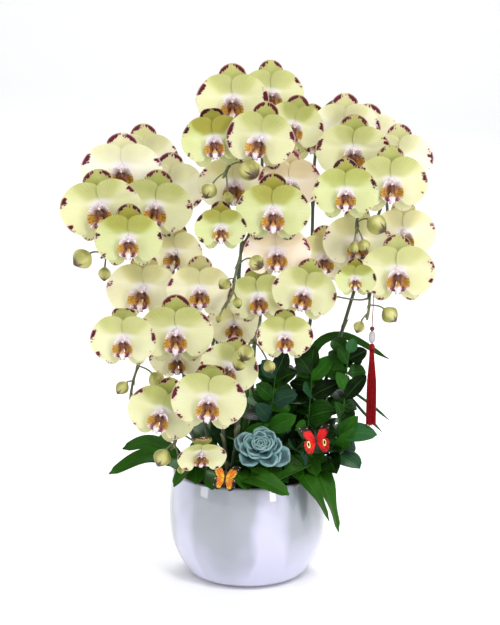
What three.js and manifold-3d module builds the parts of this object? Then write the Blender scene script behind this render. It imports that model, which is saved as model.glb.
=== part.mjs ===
// Potted moth orchid: seven plants of a pale yellow Phalaenopsis with maroon blotches, in one glazed pot
// with an echeveria, leafy sprigs, two butterfly picks and a hanging tassel.
// Millimetres, +Z up. The origin is the centre of the pot's flat base, and the blooms face -Y.

import * as THREE from "three";
import { mergeVertices } from "three/addons/utils/BufferGeometryUtils.js";
import Module from "manifold-3d";

const wasm = await Module();
wasm.setup();

// Driving dimensions, in mm.
const clearance = 0.3;
const sliver = 0.05;
const weld = 0.001;

const pot = { height: 150, rim: 107, belly: 112.5, foot: 70, wall: 7, floor: 8, sides: 24 };
const medium = { edge: 138, crown: 142 };
const petalThickness = 1.5;
const spikeRadius = 2.7;
const pedicelRadius = 1.6;
const crownRadius = 9;
const rootDepth = 12;
const leafThickness = 2;
const sprigLeafThickness = 1;

// A seen place is its pixel [u, v] in the 500 x 625 photograph with a depth y in mm: the eye, the lens in
// pixels and the camera's dip turn it into a place in space.
const eye = { x: 3.6, y: -1594, z: 590 };
const lens = 1144;
const middle = { u: 250, v: 312.5 };
const dip = THREE.MathUtils.degToRad(7.7);

function seen([u, v, y]) {
  const fall = dip - Math.atan((middle.v - v) / lens);
  const reach = y - eye.y;
  const drop = reach * Math.tan(fall);
  const along = reach * Math.cos(dip) + drop * Math.sin(dip);
  return new THREE.Vector3(eye.x + ((u - middle.u) * along) / lens, y, eye.z - drop);
}

// Each spray is one flower spike. Its blooms and buds hang from it on pedicels.
// A bloom: place seen, width in mm, and in degrees yaw (to the right), tilt (downwards) and roll (clockwise).
// cup is 1 on an open bloom and more on one that is still cupped.
const sprays = [
  {
    name: "1",
    foot: [-48, 18],
    way: [[186, 330, 70], [164, 240, 96], [146, 172, 100], [139, 142, 78], [136, 164, 50], [137, 190, 36],
      [137, 214, -4], [127, 240, -48], [111, 251, -72], [101, 258, -84]],
    blooms: [
      { at: [144, 158, 22], width: 98, yaw: 8, hue: "pale" },
      { at: [122, 168, -24], width: 112, lead: -22, bow: [0, 6, -8], hue: "pale" },
      { at: [171, 187, 4], width: 96, yaw: 8, hue: "pale" },
      { at: [101, 205, -62], width: 112, yaw: -8, roll: -8 },
      { at: [155.5, 205, -40], width: 102, yaw: 8, roll: 8 },
      { at: [129, 238, -98], width: 90, hue: "green" },
    ],
    buds: [
      { at: [82, 259, -92], size: [29, 28] },
      { at: [104.5, 274, -88], size: [17, 20] },
    ],
  },
  {
    name: "2",
    foot: [-62, -26],
    way: [[186, 400, 24], [182, 320, 46], [178, 258, 60], [176, 236, 40], [175, 260, 10], [168, 296, -32],
      [157, 324, -62], [144, 347, -92], [139, 363, -100], [133.5, 380, -103], [130, 400, -103]],
    blooms: [
      { at: [176, 252, -28], width: 82, yaw: -16, hue: "pale" },
      { at: [144, 288, -62], width: 102, yaw: -10, hue: "pale" },
      { at: [200, 289, -80], width: 89, hue: "pale" },
      { at: [176, 331, -112], width: 100 },
      { at: [124, 338, -122], width: 88, yaw: -5 },
      { at: [178, 356, -84], width: 78, yaw: -8, tilt: 12, hue: "pale" },
    ],
    buds: [
      { at: [122, 388, -108], size: [18, 21] },
      { at: [157, 380.5, -106], size: [22, 26] },
      { at: [137, 408, -104], size: [17, 21] },
    ],
  },
  {
    name: "3",
    foot: [-16, 40],
    way: [[236, 330, 66], [243, 220, 92], [249, 112, 98], [251, 80, 74], [250, 108, 42], [247, 134, 4],
      [240, 154, -26], [230, 165, -42], [223, 178, -52]],
    blooms: [
      { at: [232.5, 99, -16], width: 100 },
      { at: [271, 93, 16], width: 91, yaw: 8 },
      { at: [214, 139, -50], width: 88, roll: -5, cup: 1.5, hue: "green" },
      { at: [262, 138, -72], width: 96, yaw: -18, roll: 8 },
    ],
    buds: [
      { at: [250, 170.6, -84], size: [29, 32] },
      { at: [209, 191, -62], size: [22, 24] },
      { at: [228, 199, -62], size: [16, 20] },
    ],
  },
  {
    name: "4",
    foot: [0, 0],
    way: [[252, 390, 44], [258, 280, 66], [262, 180, 80], [262, 150, 60], [262, 174, 34], [261, 196, 12],
      [257, 216, -24], [250, 232, -52], [242, 250, -76], [235, 277, -98], [232, 294, -104], [222, 310, -108]],
    blooms: [
      { at: [234, 183, -8], width: 101, hue: "pale" },
      { at: [273, 210, -98], width: 98, hue: "green" },
      { at: [289, 182, -52], width: 88, yaw: 8, hue: "pale" },
      { at: [221, 227, -106], width: 69, cup: 3, hue: "green" },
      { at: [277, 251, -82], width: 90, hue: "pale" },
    ],
    buds: [
      { at: [257, 263, -134], size: [21, 23] },
      { at: [224, 284, -106], size: [16, 18] },
      { at: [237.5, 303, -108], size: [13, 16] },
      { at: [219, 319, -109], size: [9, 11] },
    ],
  },
  {
    name: "5",
    foot: [30, 42],
    way: [[309, 330, 70], [312, 240, 92], [316, 150, 98], [327, 106, 80], [346, 100, 66], [364, 124, 62],
      [373, 158, 54], [370, 184, 22], [365, 195, -12], [361, 205, -44], [357, 221, -66], [357, 233, -78]],
    blooms: [
      { at: [294, 125, -10], width: 83, yaw: 8, roll: 12, over: [295, 110, 14] },
      { at: [312, 135, 22], width: 87 },
      { at: [345, 128, 4], width: 98, over: [346, 103, 20], hue: "pale" },
      { at: [368, 138, 28], width: 99, hue: "pale" },
      { at: [399, 158, -2], width: 94, lead: -8, hue: "pale" },
      { at: [353, 150, -28], width: 103, roll: 3 },
      { at: [390.5, 181, -56], width: 99, yaw: 5 },
      { at: [345.3, 191, -86], width: 87, hue: "green" },
    ],
    buds: [
      { at: [377, 225, -84], size: [28, 31] },
      { at: [364, 246, -82], size: [17, 19] },
      { at: [354, 248, -80], size: [15, 19] },
    ],
  },
  {
    name: "6",
    foot: [60, 14],
    way: [[329, 371, 8], [337, 347, 8], [352, 298, 22], [370, 240, 54], [385, 200, 50], [387, 222, 18],
      [380, 250, -2], [374, 274, -28], [370, 294, -58], [369, 308, -70], [367, 320, -74]],
    blooms: [
      { at: [403, 232, -24], width: 90, hue: "pale" },
      { at: [357, 240, -36], width: 95, hue: "pale" },
      { at: [397, 270, -66], width: 102 },
      { at: [324, 256, -22], width: 85, hue: "pale" },
      { at: [305, 291, -97], width: 87, yaw: -8, roll: 12 },
      { at: [355, 278, -112], width: 54, cup: 3.4, hue: "green" },
    ],
    buds: [
      { at: [390, 315, -76], size: [24, 25] },
      { at: [359, 327, -80], size: [16, 18] },
    ],
  },
  {
    name: "7",
    foot: [-24, -50],
    way: [[242, 400, -40], [257, 330, 2], [263, 282, 16], [264, 262, -4], [263, 280, -30], [262, 302, -54],
      [260, 320, -72], [257, 333, -102], [252, 343, -134]],
    blooms: [
      { at: [258, 296, -86], width: 83, roll: -5 },
      { at: [285, 335, -136], width: 74 },
      { at: [234, 322, -46], width: 79, tilt: 10, hue: "pale" },
    ],
    buds: [
      { at: [246, 353, -150], size: [22, 25] },
      { at: [239, 365, -150], size: [18, 17] },
      { at: [269.5, 367, -146], size: [16, 18] },
    ],
    second: {
      way: [[222, 420, -50], [218, 352, -16], [215, 332, -30], [212, 352, -66], [207, 378, -104],
        [196, 399, -128], [184, 420, -140], [176, 440, -148], [171, 450, -152]],
      blooms: [
        { at: [229, 366, -118], width: 81, yaw: 12, roll: 22 },
        { at: [209, 398, -166], width: 97, roll: 5 },
        { at: [163, 411, -146], width: 91, yaw: -8, roll: 18 },
        { at: [201, 452, -170], width: 64, yaw: 12, tilt: 30, cup: 2.2 },
      ],
      buds: [
        { at: [162, 458, -158], size: [24, 25] },
        { at: [181, 470, -152], size: [10, 12] },
      ],
    },
  },
];

// Strap leaves: the plant they grow from, the places that their midrib passes, and their width in mm.
const strapLeaves = [
  { plant: "2", way: [[150, 456, -74], [109, 474, -100]], width: 24 },
  { plant: "2", way: [[192, 462, -92], [174, 487, -124]], width: 28 },
  { plant: "2", way: [[150, 443, -50], [122.5, 449, -66]], width: 24 },
  { plant: "7", way: [[256, 478, -108], [289, 495, -124]], width: 30 },
  { plant: "4", way: [[292, 466, -50], [311, 488, -98], [329, 521, -110]], width: 28 },
  { plant: "6", way: [[310, 461, -26], [323, 484, -70], [338.5, 532, -84]], width: 27 },
  { plant: "6", way: [[318, 345, 30], [342, 336, 34], [389, 359, 30]], width: 15 },
  { plant: "1", way: [[196, 430, 60], [160, 440, 118]], width: 46 },
  { plant: "3", way: [[232, 415, 96], [214, 436, 168]], width: 48 },
  { plant: "5", way: [[288, 415, 100], [312, 436, 166]], width: 48 },
  { plant: "5", way: [[318, 420, 62], [352, 428, 104]], width: 42 },
  { plant: "3", way: [[252, 390, 84], [262, 398, 132]], width: 44 },
];

// Two blunt aerial roots of plant 6 hang out to the right.
const aerialRoots = [
  { plant: "6", way: [[330, 386, 0], [347, 389, -6], [370, 404, -8], [389, 420, -6]] },
  { plant: "6", way: [[330, 398, -8], [346, 395, -14], [364, 413, -18], [382, 432, -16]] },
];

// Materials.
function finish(colour, roughness = 0.55) {
  return new THREE.MeshStandardMaterial({ color: colour, roughness, metalness: 0 });
}

const finishes = {
  yellow: finish("#e9edb8"),
  pale: finish("#efeedd"),
  green: finish("#c9d98a"),
  plant: finish("#3e6a24"),
  glaze: finish("#dcdce8", 0.15),
  bark: finish("#3a2c20", 0.95),
  succulent: finish("#7ba5a0"),
  orange: finish("#d8741c"),
  red: finish("#e02828"),
  foliage: finish("#1f4a1c", 0.35),
  thread: finish("#a01020", 0.8),
  bead: finish("#c8c8cc", 0.25),
};

const group = new THREE.Group();

// Closed bodies: shared vertices are merged, and triangles that have closed to a line are dropped.
function solid(geometry) {
  const bare = geometry.clone();
  for (const name of Object.keys(bare.attributes)) {
    if (name !== "position") bare.deleteAttribute(name);
  }
  const merged = mergeVertices(bare, weld);
  const kept = [];
  for (let i = 0; i < merged.index.count; i += 3) {
    const [a, b, c] = [0, 1, 2].map((k) => merged.index.getX(i + k));
    if (a !== b && b !== c && c !== a) kept.push(a, b, c);
  }
  const body = new wasm.Manifold(new wasm.Mesh({
    numProp: 3,
    vertProperties: new Float32Array(merged.attributes.position.array),
    triVerts: new Uint32Array(kept),
  }));
  if (body.volume() <= 0) throw new Error("a body is inside out");
  return body;
}

function geometryOf(body) {
  const mesh = body.getMesh();
  const geometry = new THREE.BufferGeometry();
  geometry.setAttribute("position", new THREE.Float32BufferAttribute(mesh.vertProperties, 3));
  geometry.setIndex(Array.from(mesh.triVerts));
  return geometry;
}

function add(name, body, material) {
  const piece = new THREE.Mesh(geometryOf(body), material);
  piece.name = name;
  group.add(piece);
}

// Seams leave slivers, which welding and simplifying by turns takes away. A pocket that fusing seals is
// filled, because only the outer shell is kept.
function cleaned(body, rounds = 3) {
  let whole = body;
  for (let i = 0; i < rounds; i += 1) whole = solid(geometryOf(whole)).simplify(sliver);
  return whole.decompose().reduce((outer, next) => (next.volume() > outer.volume() ? next : outer));
}

function joined(bodies) {
  return cleaned(bodies.reduce((sum, next) => sum.add(next)));
}

function regular(radius, sides) {
  return new THREE.Shape(Array.from({ length: sides }, (_, i) => {
    const turn = (2 * Math.PI * i) / sides;
    return new THREE.Vector2(radius * Math.cos(turn), radius * Math.sin(turn));
  }));
}

function tube(curve, radius, steps, sides = 5) {
  const options = { steps, extrudePath: curve, curveSegments: 1 };
  return solid(new THREE.ExtrudeGeometry(regular(radius, sides), options));
}

// A stem has a ring at every place it is bent at, so its turns stay round.
function stem(curve, radius, sides = 4) {
  const points = curve.getPoints(2 * (curve.points.length - 1));
  const normal = new THREE.Vector3(1, 0.3, 0);
  const rings = points.map((point, i) => {
    const after = points[Math.min(i + 1, points.length - 1)];
    const along = after.clone().sub(points[Math.max(i - 1, 0)]).normalize();
    normal.addScaledVector(along, -normal.dot(along)).normalize();
    const side = along.clone().cross(normal);
    return Array.from({ length: sides }, (_, k) => {
      const turn = (2 * Math.PI * k) / sides;
      return point.clone().addScaledVector(normal, radius * Math.cos(turn))
        .addScaledVector(side, radius * Math.sin(turn));
    });
  });
  return loft(rings);
}

function upright(radius, sides, low, high, x, y) {
  const prism = new THREE.ExtrudeGeometry(regular(radius, sides), { depth: high - low, bevelEnabled: false });
  return solid(prism.translate(x, y, low));
}

function turned(profile, sides) {
  const lathe = new THREE.LatheGeometry(profile.map(([r, z]) => new THREE.Vector2(r, z)), sides);
  return lathe.rotateX(Math.PI / 2);
}

// A body through rings of points, each ring the same count, with a flat fan at both ends.
function loft(rings) {
  const count = rings[0].length;
  const points = rings.flat().flatMap((p) => [p.x, p.y, p.z]);
  const faces = [];
  for (let i = 0; i + 1 < rings.length; i += 1) {
    for (let k = 0; k < count; k += 1) {
      const [a, b] = [i * count + k, i * count + ((k + 1) % count)];
      faces.push(a, b, b + count, a, b + count, a + count);
    }
  }
  const last = (rings.length - 1) * count;
  for (let k = 1; k + 1 < count; k += 1) {
    faces.push(0, k + 1, k, last, last + k, last + k + 1);
  }
  const geometry = new THREE.BufferGeometry();
  geometry.setAttribute("position", new THREE.Float32BufferAttribute(points, 3));
  geometry.setIndex(faces);
  return solid(geometry);
}

// The bloom, for a width of 1: x to the right, z up, y away from the viewer, round the hub where its parts
// meet. The five tepals leave the five sides of the hub. Each outline runs counter-clockwise between two
// hub corners.
const hubRadius = 0.05;
const hubDepth = 0.025;
const hubTurns = [50, 130, 212, 270, 328];
const neck = { reach: 0.075, radius: 0.024 };
const petalOutline = [[0.11, 0.24], [0.25, 0.325], [0.41, 0.26], [0.5, 0.05], [0.44, -0.18], [0.29, -0.31],
  [0.12, -0.23]];
const petalHeart = [0.26, 0.02];
const dorsalOutline = [[0.045, 0.09], [0.16, 0.24], [0.11, 0.43], [0, 0.5], [-0.11, 0.43], [-0.16, 0.24],
  [-0.045, 0.09]];
const dorsalHeart = [0, 0.27];
const lateralOutline = [[0.03, -0.17], [0.12, -0.38], [0.25, -0.4], [0.24, -0.21], [0.052, -0.08]];
const lateralHeart = [0.16, -0.25];
const lipOutline = [[0, 0.06, -0.07], [0.13, 0.03, -0.115], [0.065, -0.07, -0.08], [0.09, -0.155, -0.115],
  [0, -0.26, -0.1], [-0.09, -0.155, -0.115], [-0.065, -0.07, -0.08], [-0.13, 0.03, -0.115]];
const lipFront = [0, -0.04, -0.14];

function across([x, z]) {
  return [-x, z];
}

function mirrored(outline) {
  return outline.map(across).reverse();
}

// How far back a petal and a sepal lie at a place in the outline: petals in front, both bowed to the front.
function petalBack(x, z, cup) {
  return -0.015 - cup * (0.25 * x * x + 0.5 * (z - 0.02) ** 2);
}

function sepalBack(x, z, cup) {
  return 0.036 - (cup - 1) * 0.2 * (x * x + z * z);
}

const petalEdge = [...petalOutline].reverse();
const tepals = [
  { corners: [0, 1], outline: dorsalOutline, heart: dorsalHeart, back: sepalBack },
  { corners: [1, 2], outline: mirrored(petalEdge), heart: across(petalHeart), back: petalBack },
  { corners: [2, 3], outline: mirrored(lateralOutline), heart: across(lateralHeart), back: sepalBack },
  { corners: [3, 4], outline: lateralOutline, heart: lateralHeart, back: sepalBack },
  { corners: [4, 0], outline: petalEdge, heart: petalHeart, back: petalBack },
];

function bloomGeometry(cup, thickness) {
  const points = [];
  const faces = [];
  const place = (x, y, z) => points.push([x, y, z]) - 1;
  const corner = hubTurns.map((turn) => THREE.MathUtils.degToRad(turn));
  const round = (radius, y) => corner.map((t) => place(radius * Math.cos(t), y, radius * Math.sin(t)));
  const front = round(hubRadius, -hubDepth);
  const rear = round(hubRadius, hubDepth);
  const end = round(neck.radius, neck.reach);

  for (const { corners: [from, to], outline, heart, back } of tepals) {
    const level = ([x, z], side) => place(x, back(x, z, cup) + (side * thickness) / 2, z);
    const fore = [front[from], ...outline.map((p) => level(p, -1)), front[to]];
    const hind = [rear[from], ...outline.map((p) => level(p, 1)), rear[to]];
    const [foreHeart, hindHeart] = [level(heart, -1), level(heart, 1)];
    fore.forEach((a, i) => {
      const next = (i + 1) % fore.length;
      faces.push([foreHeart, a, fore[next]], [hindHeart, hind[next], hind[i]]);
      if (next > 0) faces.push([fore[next], a, hind[i]], [fore[next], hind[i], hind[next]]);
    });
  }

  const lip = lipOutline.map(([x, z, y]) => place(x, y, z));
  const apex = place(lipFront[0], lipFront[2], lipFront[1]);
  lip.forEach((a, i) => faces.push([apex, lip[(i + 1) % lip.length], a]));
  const [A, E, D, C, B] = front;
  const [top, sideR, notchR, lowR, tip, lowL, notchL, sideL] = lip;
  faces.push([A, E, top], [top, sideR, A], [B, A, sideR], [sideR, notchR, B], [notchR, lowR, B], [C, B, lowR],
    [lowR, tip, C], [tip, lowL, C], [D, C, lowL], [lowL, notchL, D], [notchL, sideL, D], [E, D, sideL],
    [sideL, top, E]);

  rear.forEach((a, i) => {
    const next = (i + 1) % rear.length;
    faces.push([rear[next], a, end[i]], [rear[next], end[i], end[next]]);
  });
  faces.push([end[0], end[2], end[1]], [end[0], end[3], end[2]], [end[0], end[4], end[3]]);

  const geometry = new THREE.BufferGeometry();
  geometry.setAttribute("position", new THREE.Float32BufferAttribute(points.flat(), 3));
  geometry.setIndex(faces.flat());
  return geometry;
}

function facing({ at, width, yaw = 0, tilt = 0, roll = 0 }) {
  const turn = (degrees) => THREE.MathUtils.degToRad(degrees);
  return new THREE.Matrix4().makeRotationZ(turn(yaw))
    .multiply(new THREE.Matrix4().makeRotationX(turn(tilt)))
    .multiply(new THREE.Matrix4().makeRotationY(turn(roll)))
    .scale(new THREE.Vector3(width, width, width))
    .premultiply(new THREE.Matrix4().setPosition(seen(at)));
}

function addBloom(name, bloom) {
  const geometry = bloomGeometry(bloom.cup ?? 1, petalThickness / bloom.width);
  add(name, solid(geometry.applyMatrix4(facing(bloom))), finishes[bloom.hue ?? "yellow"]);
}

// The pedicel of a bloom or bud leaves the spike a little before the nearest place on it, by the lead in mm.
// Where another bloom stands between, it goes over that one by a seen place.
function attach(spike, target, lead = 10) {
  const samples = 240;
  let best = 0;
  for (let i = Math.round(samples * 0.4); i <= samples; i += 1) {
    const gap = spike.getPointAt(i / samples).distanceTo(target);
    if (gap < spike.getPointAt(best / samples).distanceTo(target)) best = i;
  }
  return THREE.MathUtils.clamp(best / samples - lead / spike.getLength(), 0, 1);
}

function bloomPedicel(spike, bloom) {
  const frame = facing(bloom);
  const end = new THREE.Vector3(0, neck.reach, 0).applyMatrix4(frame);
  const back = new THREE.Vector3(0, 1, 0).transformDirection(frame);
  end.addScaledVector(back, clearance);
  if (bloom.over) {
    const bend = seen(bloom.over);
    const straight = end.clone().addScaledVector(back, 4);
    const places = [spike.getPointAt(attach(spike, bend)), bend, straight, end];
    return tube(new THREE.CatmullRomCurve3(places, false, "centripetal"), pedicelRadius, 5, 3);
  }
  const t = attach(spike, end.clone().addScaledVector(back, 12), bloom.lead);
  const start = spike.getPointAt(t);
  const length = start.distanceTo(end);
  const curve = new THREE.CubicBezierCurve3(
    start,
    start.clone().addScaledVector(spike.getTangentAt(t), 0.25 * length),
    end.clone().addScaledVector(back, 0.4 * length).add(new THREE.Vector3(...(bloom.bow ?? [0, 0, 0]))),
    end,
  );
  return tube(curve, pedicelRadius, 3, 3);
}

// A bud is a pointed egg on its own pedicel, hanging away from the spike.
const budProfile = [[0, -0.5], [0.42, -0.26], [0.48, 0.12], [0, 0.5]];

function bud(spike, { at, size: [width, height] }) {
  const centre = seen(at);
  const t = attach(spike, centre);
  const start = spike.getPointAt(t);
  const axis = centre.clone().sub(start).normalize().add(new THREE.Vector3(0, 0, -0.5)).normalize();
  const base = centre.clone().addScaledVector(axis, -0.42 * height);
  const egg = turned(budProfile.map(([r, z]) => [r * width, z * height]), 5);
  egg.applyQuaternion(new THREE.Quaternion().setFromUnitVectors(new THREE.Vector3(0, 0, 1), axis));
  egg.translate(centre.x, centre.y, centre.z);
  const curve = new THREE.QuadraticBezierCurve3(
    start, base.clone().addScaledVector(axis, -0.4 * start.distanceTo(base)), base);
  return [tube(curve, pedicelRadius, 2, 3), solid(egg)];
}

function through(foot, way) {
  const low = new THREE.Vector3(foot[0], foot[1], medium.edge);
  return new THREE.CatmullRomCurve3([low, ...way.map(seen)], false, "centripetal");
}

// A strap leaf: a folded blade along its midrib, widest past the middle and pointed. Each leaf of a plant
// leaves the crown a little higher than the one before.
function strapLeaf(foot, way, width, rank, thickness = leafThickness, steps = 5) {
  const low = new THREE.Vector3(foot[0], foot[1], medium.crown + 3.1 + 2.7 * rank);
  const first = seen(way[0]).sub(low).setZ(0).normalize();
  low.addScaledVector(first, 5.2);
  const rib = new THREE.CatmullRomCurve3([low, ...way.map(seen)], false, "centripetal");
  const rings = [];
  for (let i = 0; i <= steps; i += 1) {
    const t = i / steps;
    const along = rib.getTangentAt(t);
    const side = new THREE.Vector3(along.y, -along.x, 0);
    if (side.length() < 0.3) side.set(1, 0, 0);
    side.normalize();
    const up = side.clone().cross(along).normalize();
    const half = (width / 2) * Math.sin(Math.PI * (0.03 + 0.92 * t)) ** 0.6;
    const centre = rib.getPointAt(t);
    const edge = (s, k) => centre.clone().addScaledVector(side, s * half)
      .addScaledVector(up, 0.22 * half * Math.abs(s) + k * thickness * 0.5);
    rings.push([edge(-1, -0.3), edge(0, 1), edge(1, -0.3), edge(0, -1)]);
  }
  return loft(rings);
}

function addPlant(spray) {
  const [x, y] = spray.foot;
  const bodies = [upright(crownRadius, 6, medium.edge - rootDepth, medium.crown + 13.4, x, y)];
  const spikes = [spray, spray.second].filter(Boolean);
  for (const { way, blooms, buds } of spikes) {
    const spike = through(spray.foot, way);
    bodies.push(stem(spike, spikeRadius));
    for (const bloom of blooms) bodies.push(bloomPedicel(spike, bloom));
    for (const each of buds) bodies.push(...bud(spike, each));
  }
  strapLeaves.filter(({ plant }) => plant === spray.name).forEach((leaf, rank) => {
    bodies.push(strapLeaf(spray.foot, leaf.way, leaf.width, rank));
  });
  for (const root of aerialRoots.filter(({ plant }) => plant === spray.name)) {
    bodies.push(stem(through(spray.foot, root.way), 2));
  }
  add(`plant_${spray.name}`, joined(bodies), finishes.plant);
}

for (const spray of sprays) {
  addPlant(spray);
  const blooms = [...spray.blooms, ...(spray.second?.blooms ?? [])];
  blooms.forEach((bloom, i) => addBloom(`bloom_${spray.name}_${i + 1}`, bloom));
}

// The pot is one turned wall, and the growing medium fills it to just below the rim.
const potOutside = [[0, 0], [pot.foot, 0], [84, 6], [97, 24], [108.5, 52], [pot.belly, 92], [110.5, 124],
  [pot.rim, 147], [pot.rim - 3, pot.height]];
const potInside = [[pot.rim - pot.wall, 147], [110.5 - pot.wall, 124], [pot.belly - pot.wall, 92],
  [108.5 - pot.wall, 52], [88, 24], [64, pot.floor], [0, pot.floor]];
add("pot", solid(turned([...potOutside, ...potInside], pot.sides)), finishes.glaze);

const mediumProfile = [[0, pot.floor + clearance], ...potInside.slice(2, -1).reverse()
  .map(([r, z]) => [r - 0.5, Math.max(z, pot.floor + clearance)]), [100.8, medium.edge], [0, medium.crown]];

const stands = sprays.map(({ foot: [x, y] }) => ({ x, y, radius: crownRadius, sides: 6 }));

// The echeveria: a tilted rosette of thick pointed leaves on a short stem.
const rosette = {
  heart: seen([260.5, 450, -74]), radius: 39, lean: 42,
  rows: [
    { leaves: 8, reach: 1, rise: 8 },
    { leaves: 6, reach: 0.74, rise: 30 },
    { leaves: 4, reach: 0.46, rise: 56 },
  ],
};

function succulentLeaf(length, width, thick) {
  const outline = [[0, 0.12], [0.6, 0.44], [0.94, 0.26], [0.94, -0.26], [0.6, -0.44], [0, -0.12]];
  const points = outline.flatMap(([x, y]) => [x * length, y * width, (x ** 2) * length * 0.14]);
  points.push(0.6 * length, 0, thick * 0.45, 0.6 * length, 0, -thick * 0.55);
  const faces = outline.flatMap((_, i) => {
    const next = (i + 1) % outline.length;
    return [6, next, i, 7, i, next];
  });
  const geometry = new THREE.BufferGeometry();
  geometry.setAttribute("position", new THREE.Float32BufferAttribute(points, 3));
  geometry.setIndex(faces);
  return geometry;
}

function addEcheveria() {
  const { heart, radius, lean, rows } = rosette;
  const bodies = [solid(turned([[0, -14], [7, -14], [9, -2], [5, 6], [0, 9]], 6))];
  rows.forEach(({ leaves, reach, rise }, row) => {
    for (let i = 0; i < leaves; i += 1) {
      const leaf = succulentLeaf(radius * reach, radius * 0.62 * Math.sqrt(reach), 6);
      leaf.rotateY(-THREE.MathUtils.degToRad(rise));
      leaf.rotateZ((2 * Math.PI * (i + 0.5 * (row % 2))) / leaves + 0.3 * row);
      leaf.translate(0, 0, row * 1.5);
      bodies.push(solid(leaf));
    }
  });
  const lift = new THREE.Matrix4().makeRotationX(THREE.MathUtils.degToRad(lean)).setPosition(heart);
  const rosetteBody = joined(bodies).transform(lift.elements);
  const foot = new THREE.Vector3(heart.x, heart.y + 18, medium.edge - rootDepth);
  const neckEnd = heart.clone().add(new THREE.Vector3(0, 8, -9));
  const way = new THREE.CatmullRomCurve3([foot, foot.clone().setZ(medium.crown + 8), neckEnd]);
  stands.push({ x: foot.x, y: foot.y, radius: 5.6, sides: 6 });
  add("echeveria", joined([rosetteBody, tube(way, 5, 4, 6)]), finishes.succulent);
}
addEcheveria();

// Leafy sprigs: a stem with flat leaves, each from its place on the stem to its seen tip.
const leafOutline = [[0, 0.08], [0.32, 0.44], [0.68, 0.42], [1, 0], [0.68, -0.42], [0.32, -0.44], [0, -0.08]];

function flatLeaf(base, tip, width, facingTo) {
  const along = tip.clone().sub(base);
  const length = along.length();
  const x = along.normalize();
  const z = facingTo.clone().addScaledVector(x, -facingTo.dot(x)).normalize();
  const y = z.clone().cross(x);
  const shape = new THREE.Shape(leafOutline.map(([s, w]) => new THREE.Vector2(s * length, w * width)));
  const plate = new THREE.ExtrudeGeometry(shape, { depth: sprigLeafThickness, bevelEnabled: false });
  plate.translate(0, 0, -sprigLeafThickness / 2);
  return solid(plate.applyMatrix4(new THREE.Matrix4().makeBasis(x, y, z).setPosition(base)));
}

const sprigs = [
  {
    name: "sprig_left", foot: [11, -30], way: [[266, 440, -28], [272, 404, -30], [276, 372, -24]],
    leaves: [
      { from: 0.98, tip: [286, 351, -26], width: 22 },
      { from: 0.95, tip: [262, 360, -34], width: 21 },
      { from: 0.9, tip: [297, 371, -34], width: 23 },
      { from: 0.78, tip: [256, 384, -42], width: 22 },
      { from: 0.74, tip: [297, 394, -42], width: 25 },
      { from: 0.6, tip: [256, 404, -46], width: 22 },
      { from: 0.52, tip: [296, 416, -50], width: 25 },
      { from: 0.58, tip: [239, 447, -28], width: 24 },
      { from: 0.92, tip: [264, 372, 6], width: 28 },
      { from: 0.86, tip: [292, 364, 8], width: 28 },
      { from: 0.72, tip: [248, 396, 2], width: 28 },
      { from: 0.68, tip: [288, 400, 6], width: 28 },
      { from: 0.5, tip: [290, 424, 2], width: 30 },
    ],
  },
  {
    name: "sprig_middle", foot: [44, -22], way: [[304, 440, -20], [310, 400, -18], [312, 368, -12]],
    leaves: [
      { from: 0.98, tip: [314, 346, -12], width: 22 },
      { from: 0.95, tip: [296, 352, -10], width: 22 },
      { from: 0.9, tip: [333, 356, -16], width: 23 },
      { from: 0.82, tip: [303, 390, -34], width: 24 },
      { from: 0.78, tip: [340, 382, -26], width: 23 },
      { from: 0.62, tip: [334, 410, -44], width: 38 },
      { from: 0.5, tip: [296, 426, -44], width: 26 },
      { from: 0.42, tip: [334, 430, -30], width: 28 },
      { from: 0.88, tip: [296, 376, 16], width: 28 },
      { from: 0.72, tip: [292, 404, 24], width: 30 },
      { from: 0.5, tip: [314, 420, -2], width: 28 },
      { from: 0.34, tip: [290, 446, -40], width: 28 },
    ],
  },
  {
    name: "sprig_right", foot: [86, -6],
    way: [[332, 452, -30], [340, 420, -44], [346, 392, -36], [347, 368, -30], [349, 352, -28]],
    leaves: [
      { from: 0.99, tip: [354, 338, -28], width: 15 },
      { from: 0.95, tip: [367, 350, -28], width: 20 },
      { from: 0.92, tip: [338, 347, -28], width: 17 },
      { from: 0.76, tip: [337, 372, -36], width: 16 },
      { from: 0.7, tip: [366, 375, -40], width: 22 },
      { from: 0.58, tip: [336, 402, -58], width: 17 },
      { from: 0.48, tip: [377, 434, -60], width: 27 },
      { from: 0.44, tip: [358, 416, -56], width: 19 },
      { from: 0.32, tip: [354, 428, -68], width: 20 },
      { from: 0.33, tip: [360, 468, -78], width: 34 },
      { from: 0.27, tip: [322, 470, -70], width: 28 },
    ],
  },
];

function addSprig({ name, foot, way, leaves }) {
  const low = new THREE.Vector3(foot[0], foot[1], medium.edge - rootDepth);
  const stem = new THREE.CatmullRomCurve3([low, low.clone().setZ(medium.crown + 14), ...way.map(seen)], false,
    "centripetal");
  const bodies = [tube(stem, 1.8, way.length + 4, 4)];
  const toViewer = new THREE.Vector3(0, -1, 0.8);
  for (const { from, tip, width } of leaves) {
    bodies.push(flatLeaf(stem.getPointAt(from), seen(tip), width, toViewer));
  }
  stands.push({ x: foot[0], y: foot[1], radius: 3.4, sides: 4 });
  add(name, joined(bodies), finishes.foliage);
}
sprigs.forEach(addSprig);

// Butterflies: two raised wings of thin plate on a small body, each on a wire pick.
const wingOutline = [[0.02, 0.05], [0.3, 0.6], [0.62, 0.86], [0.96, 0.8], [0.92, 0.42], [0.7, 0.06],
  [0.78, -0.3], [0.66, -0.66], [0.36, -0.74], [0.02, -0.12]];

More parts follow.
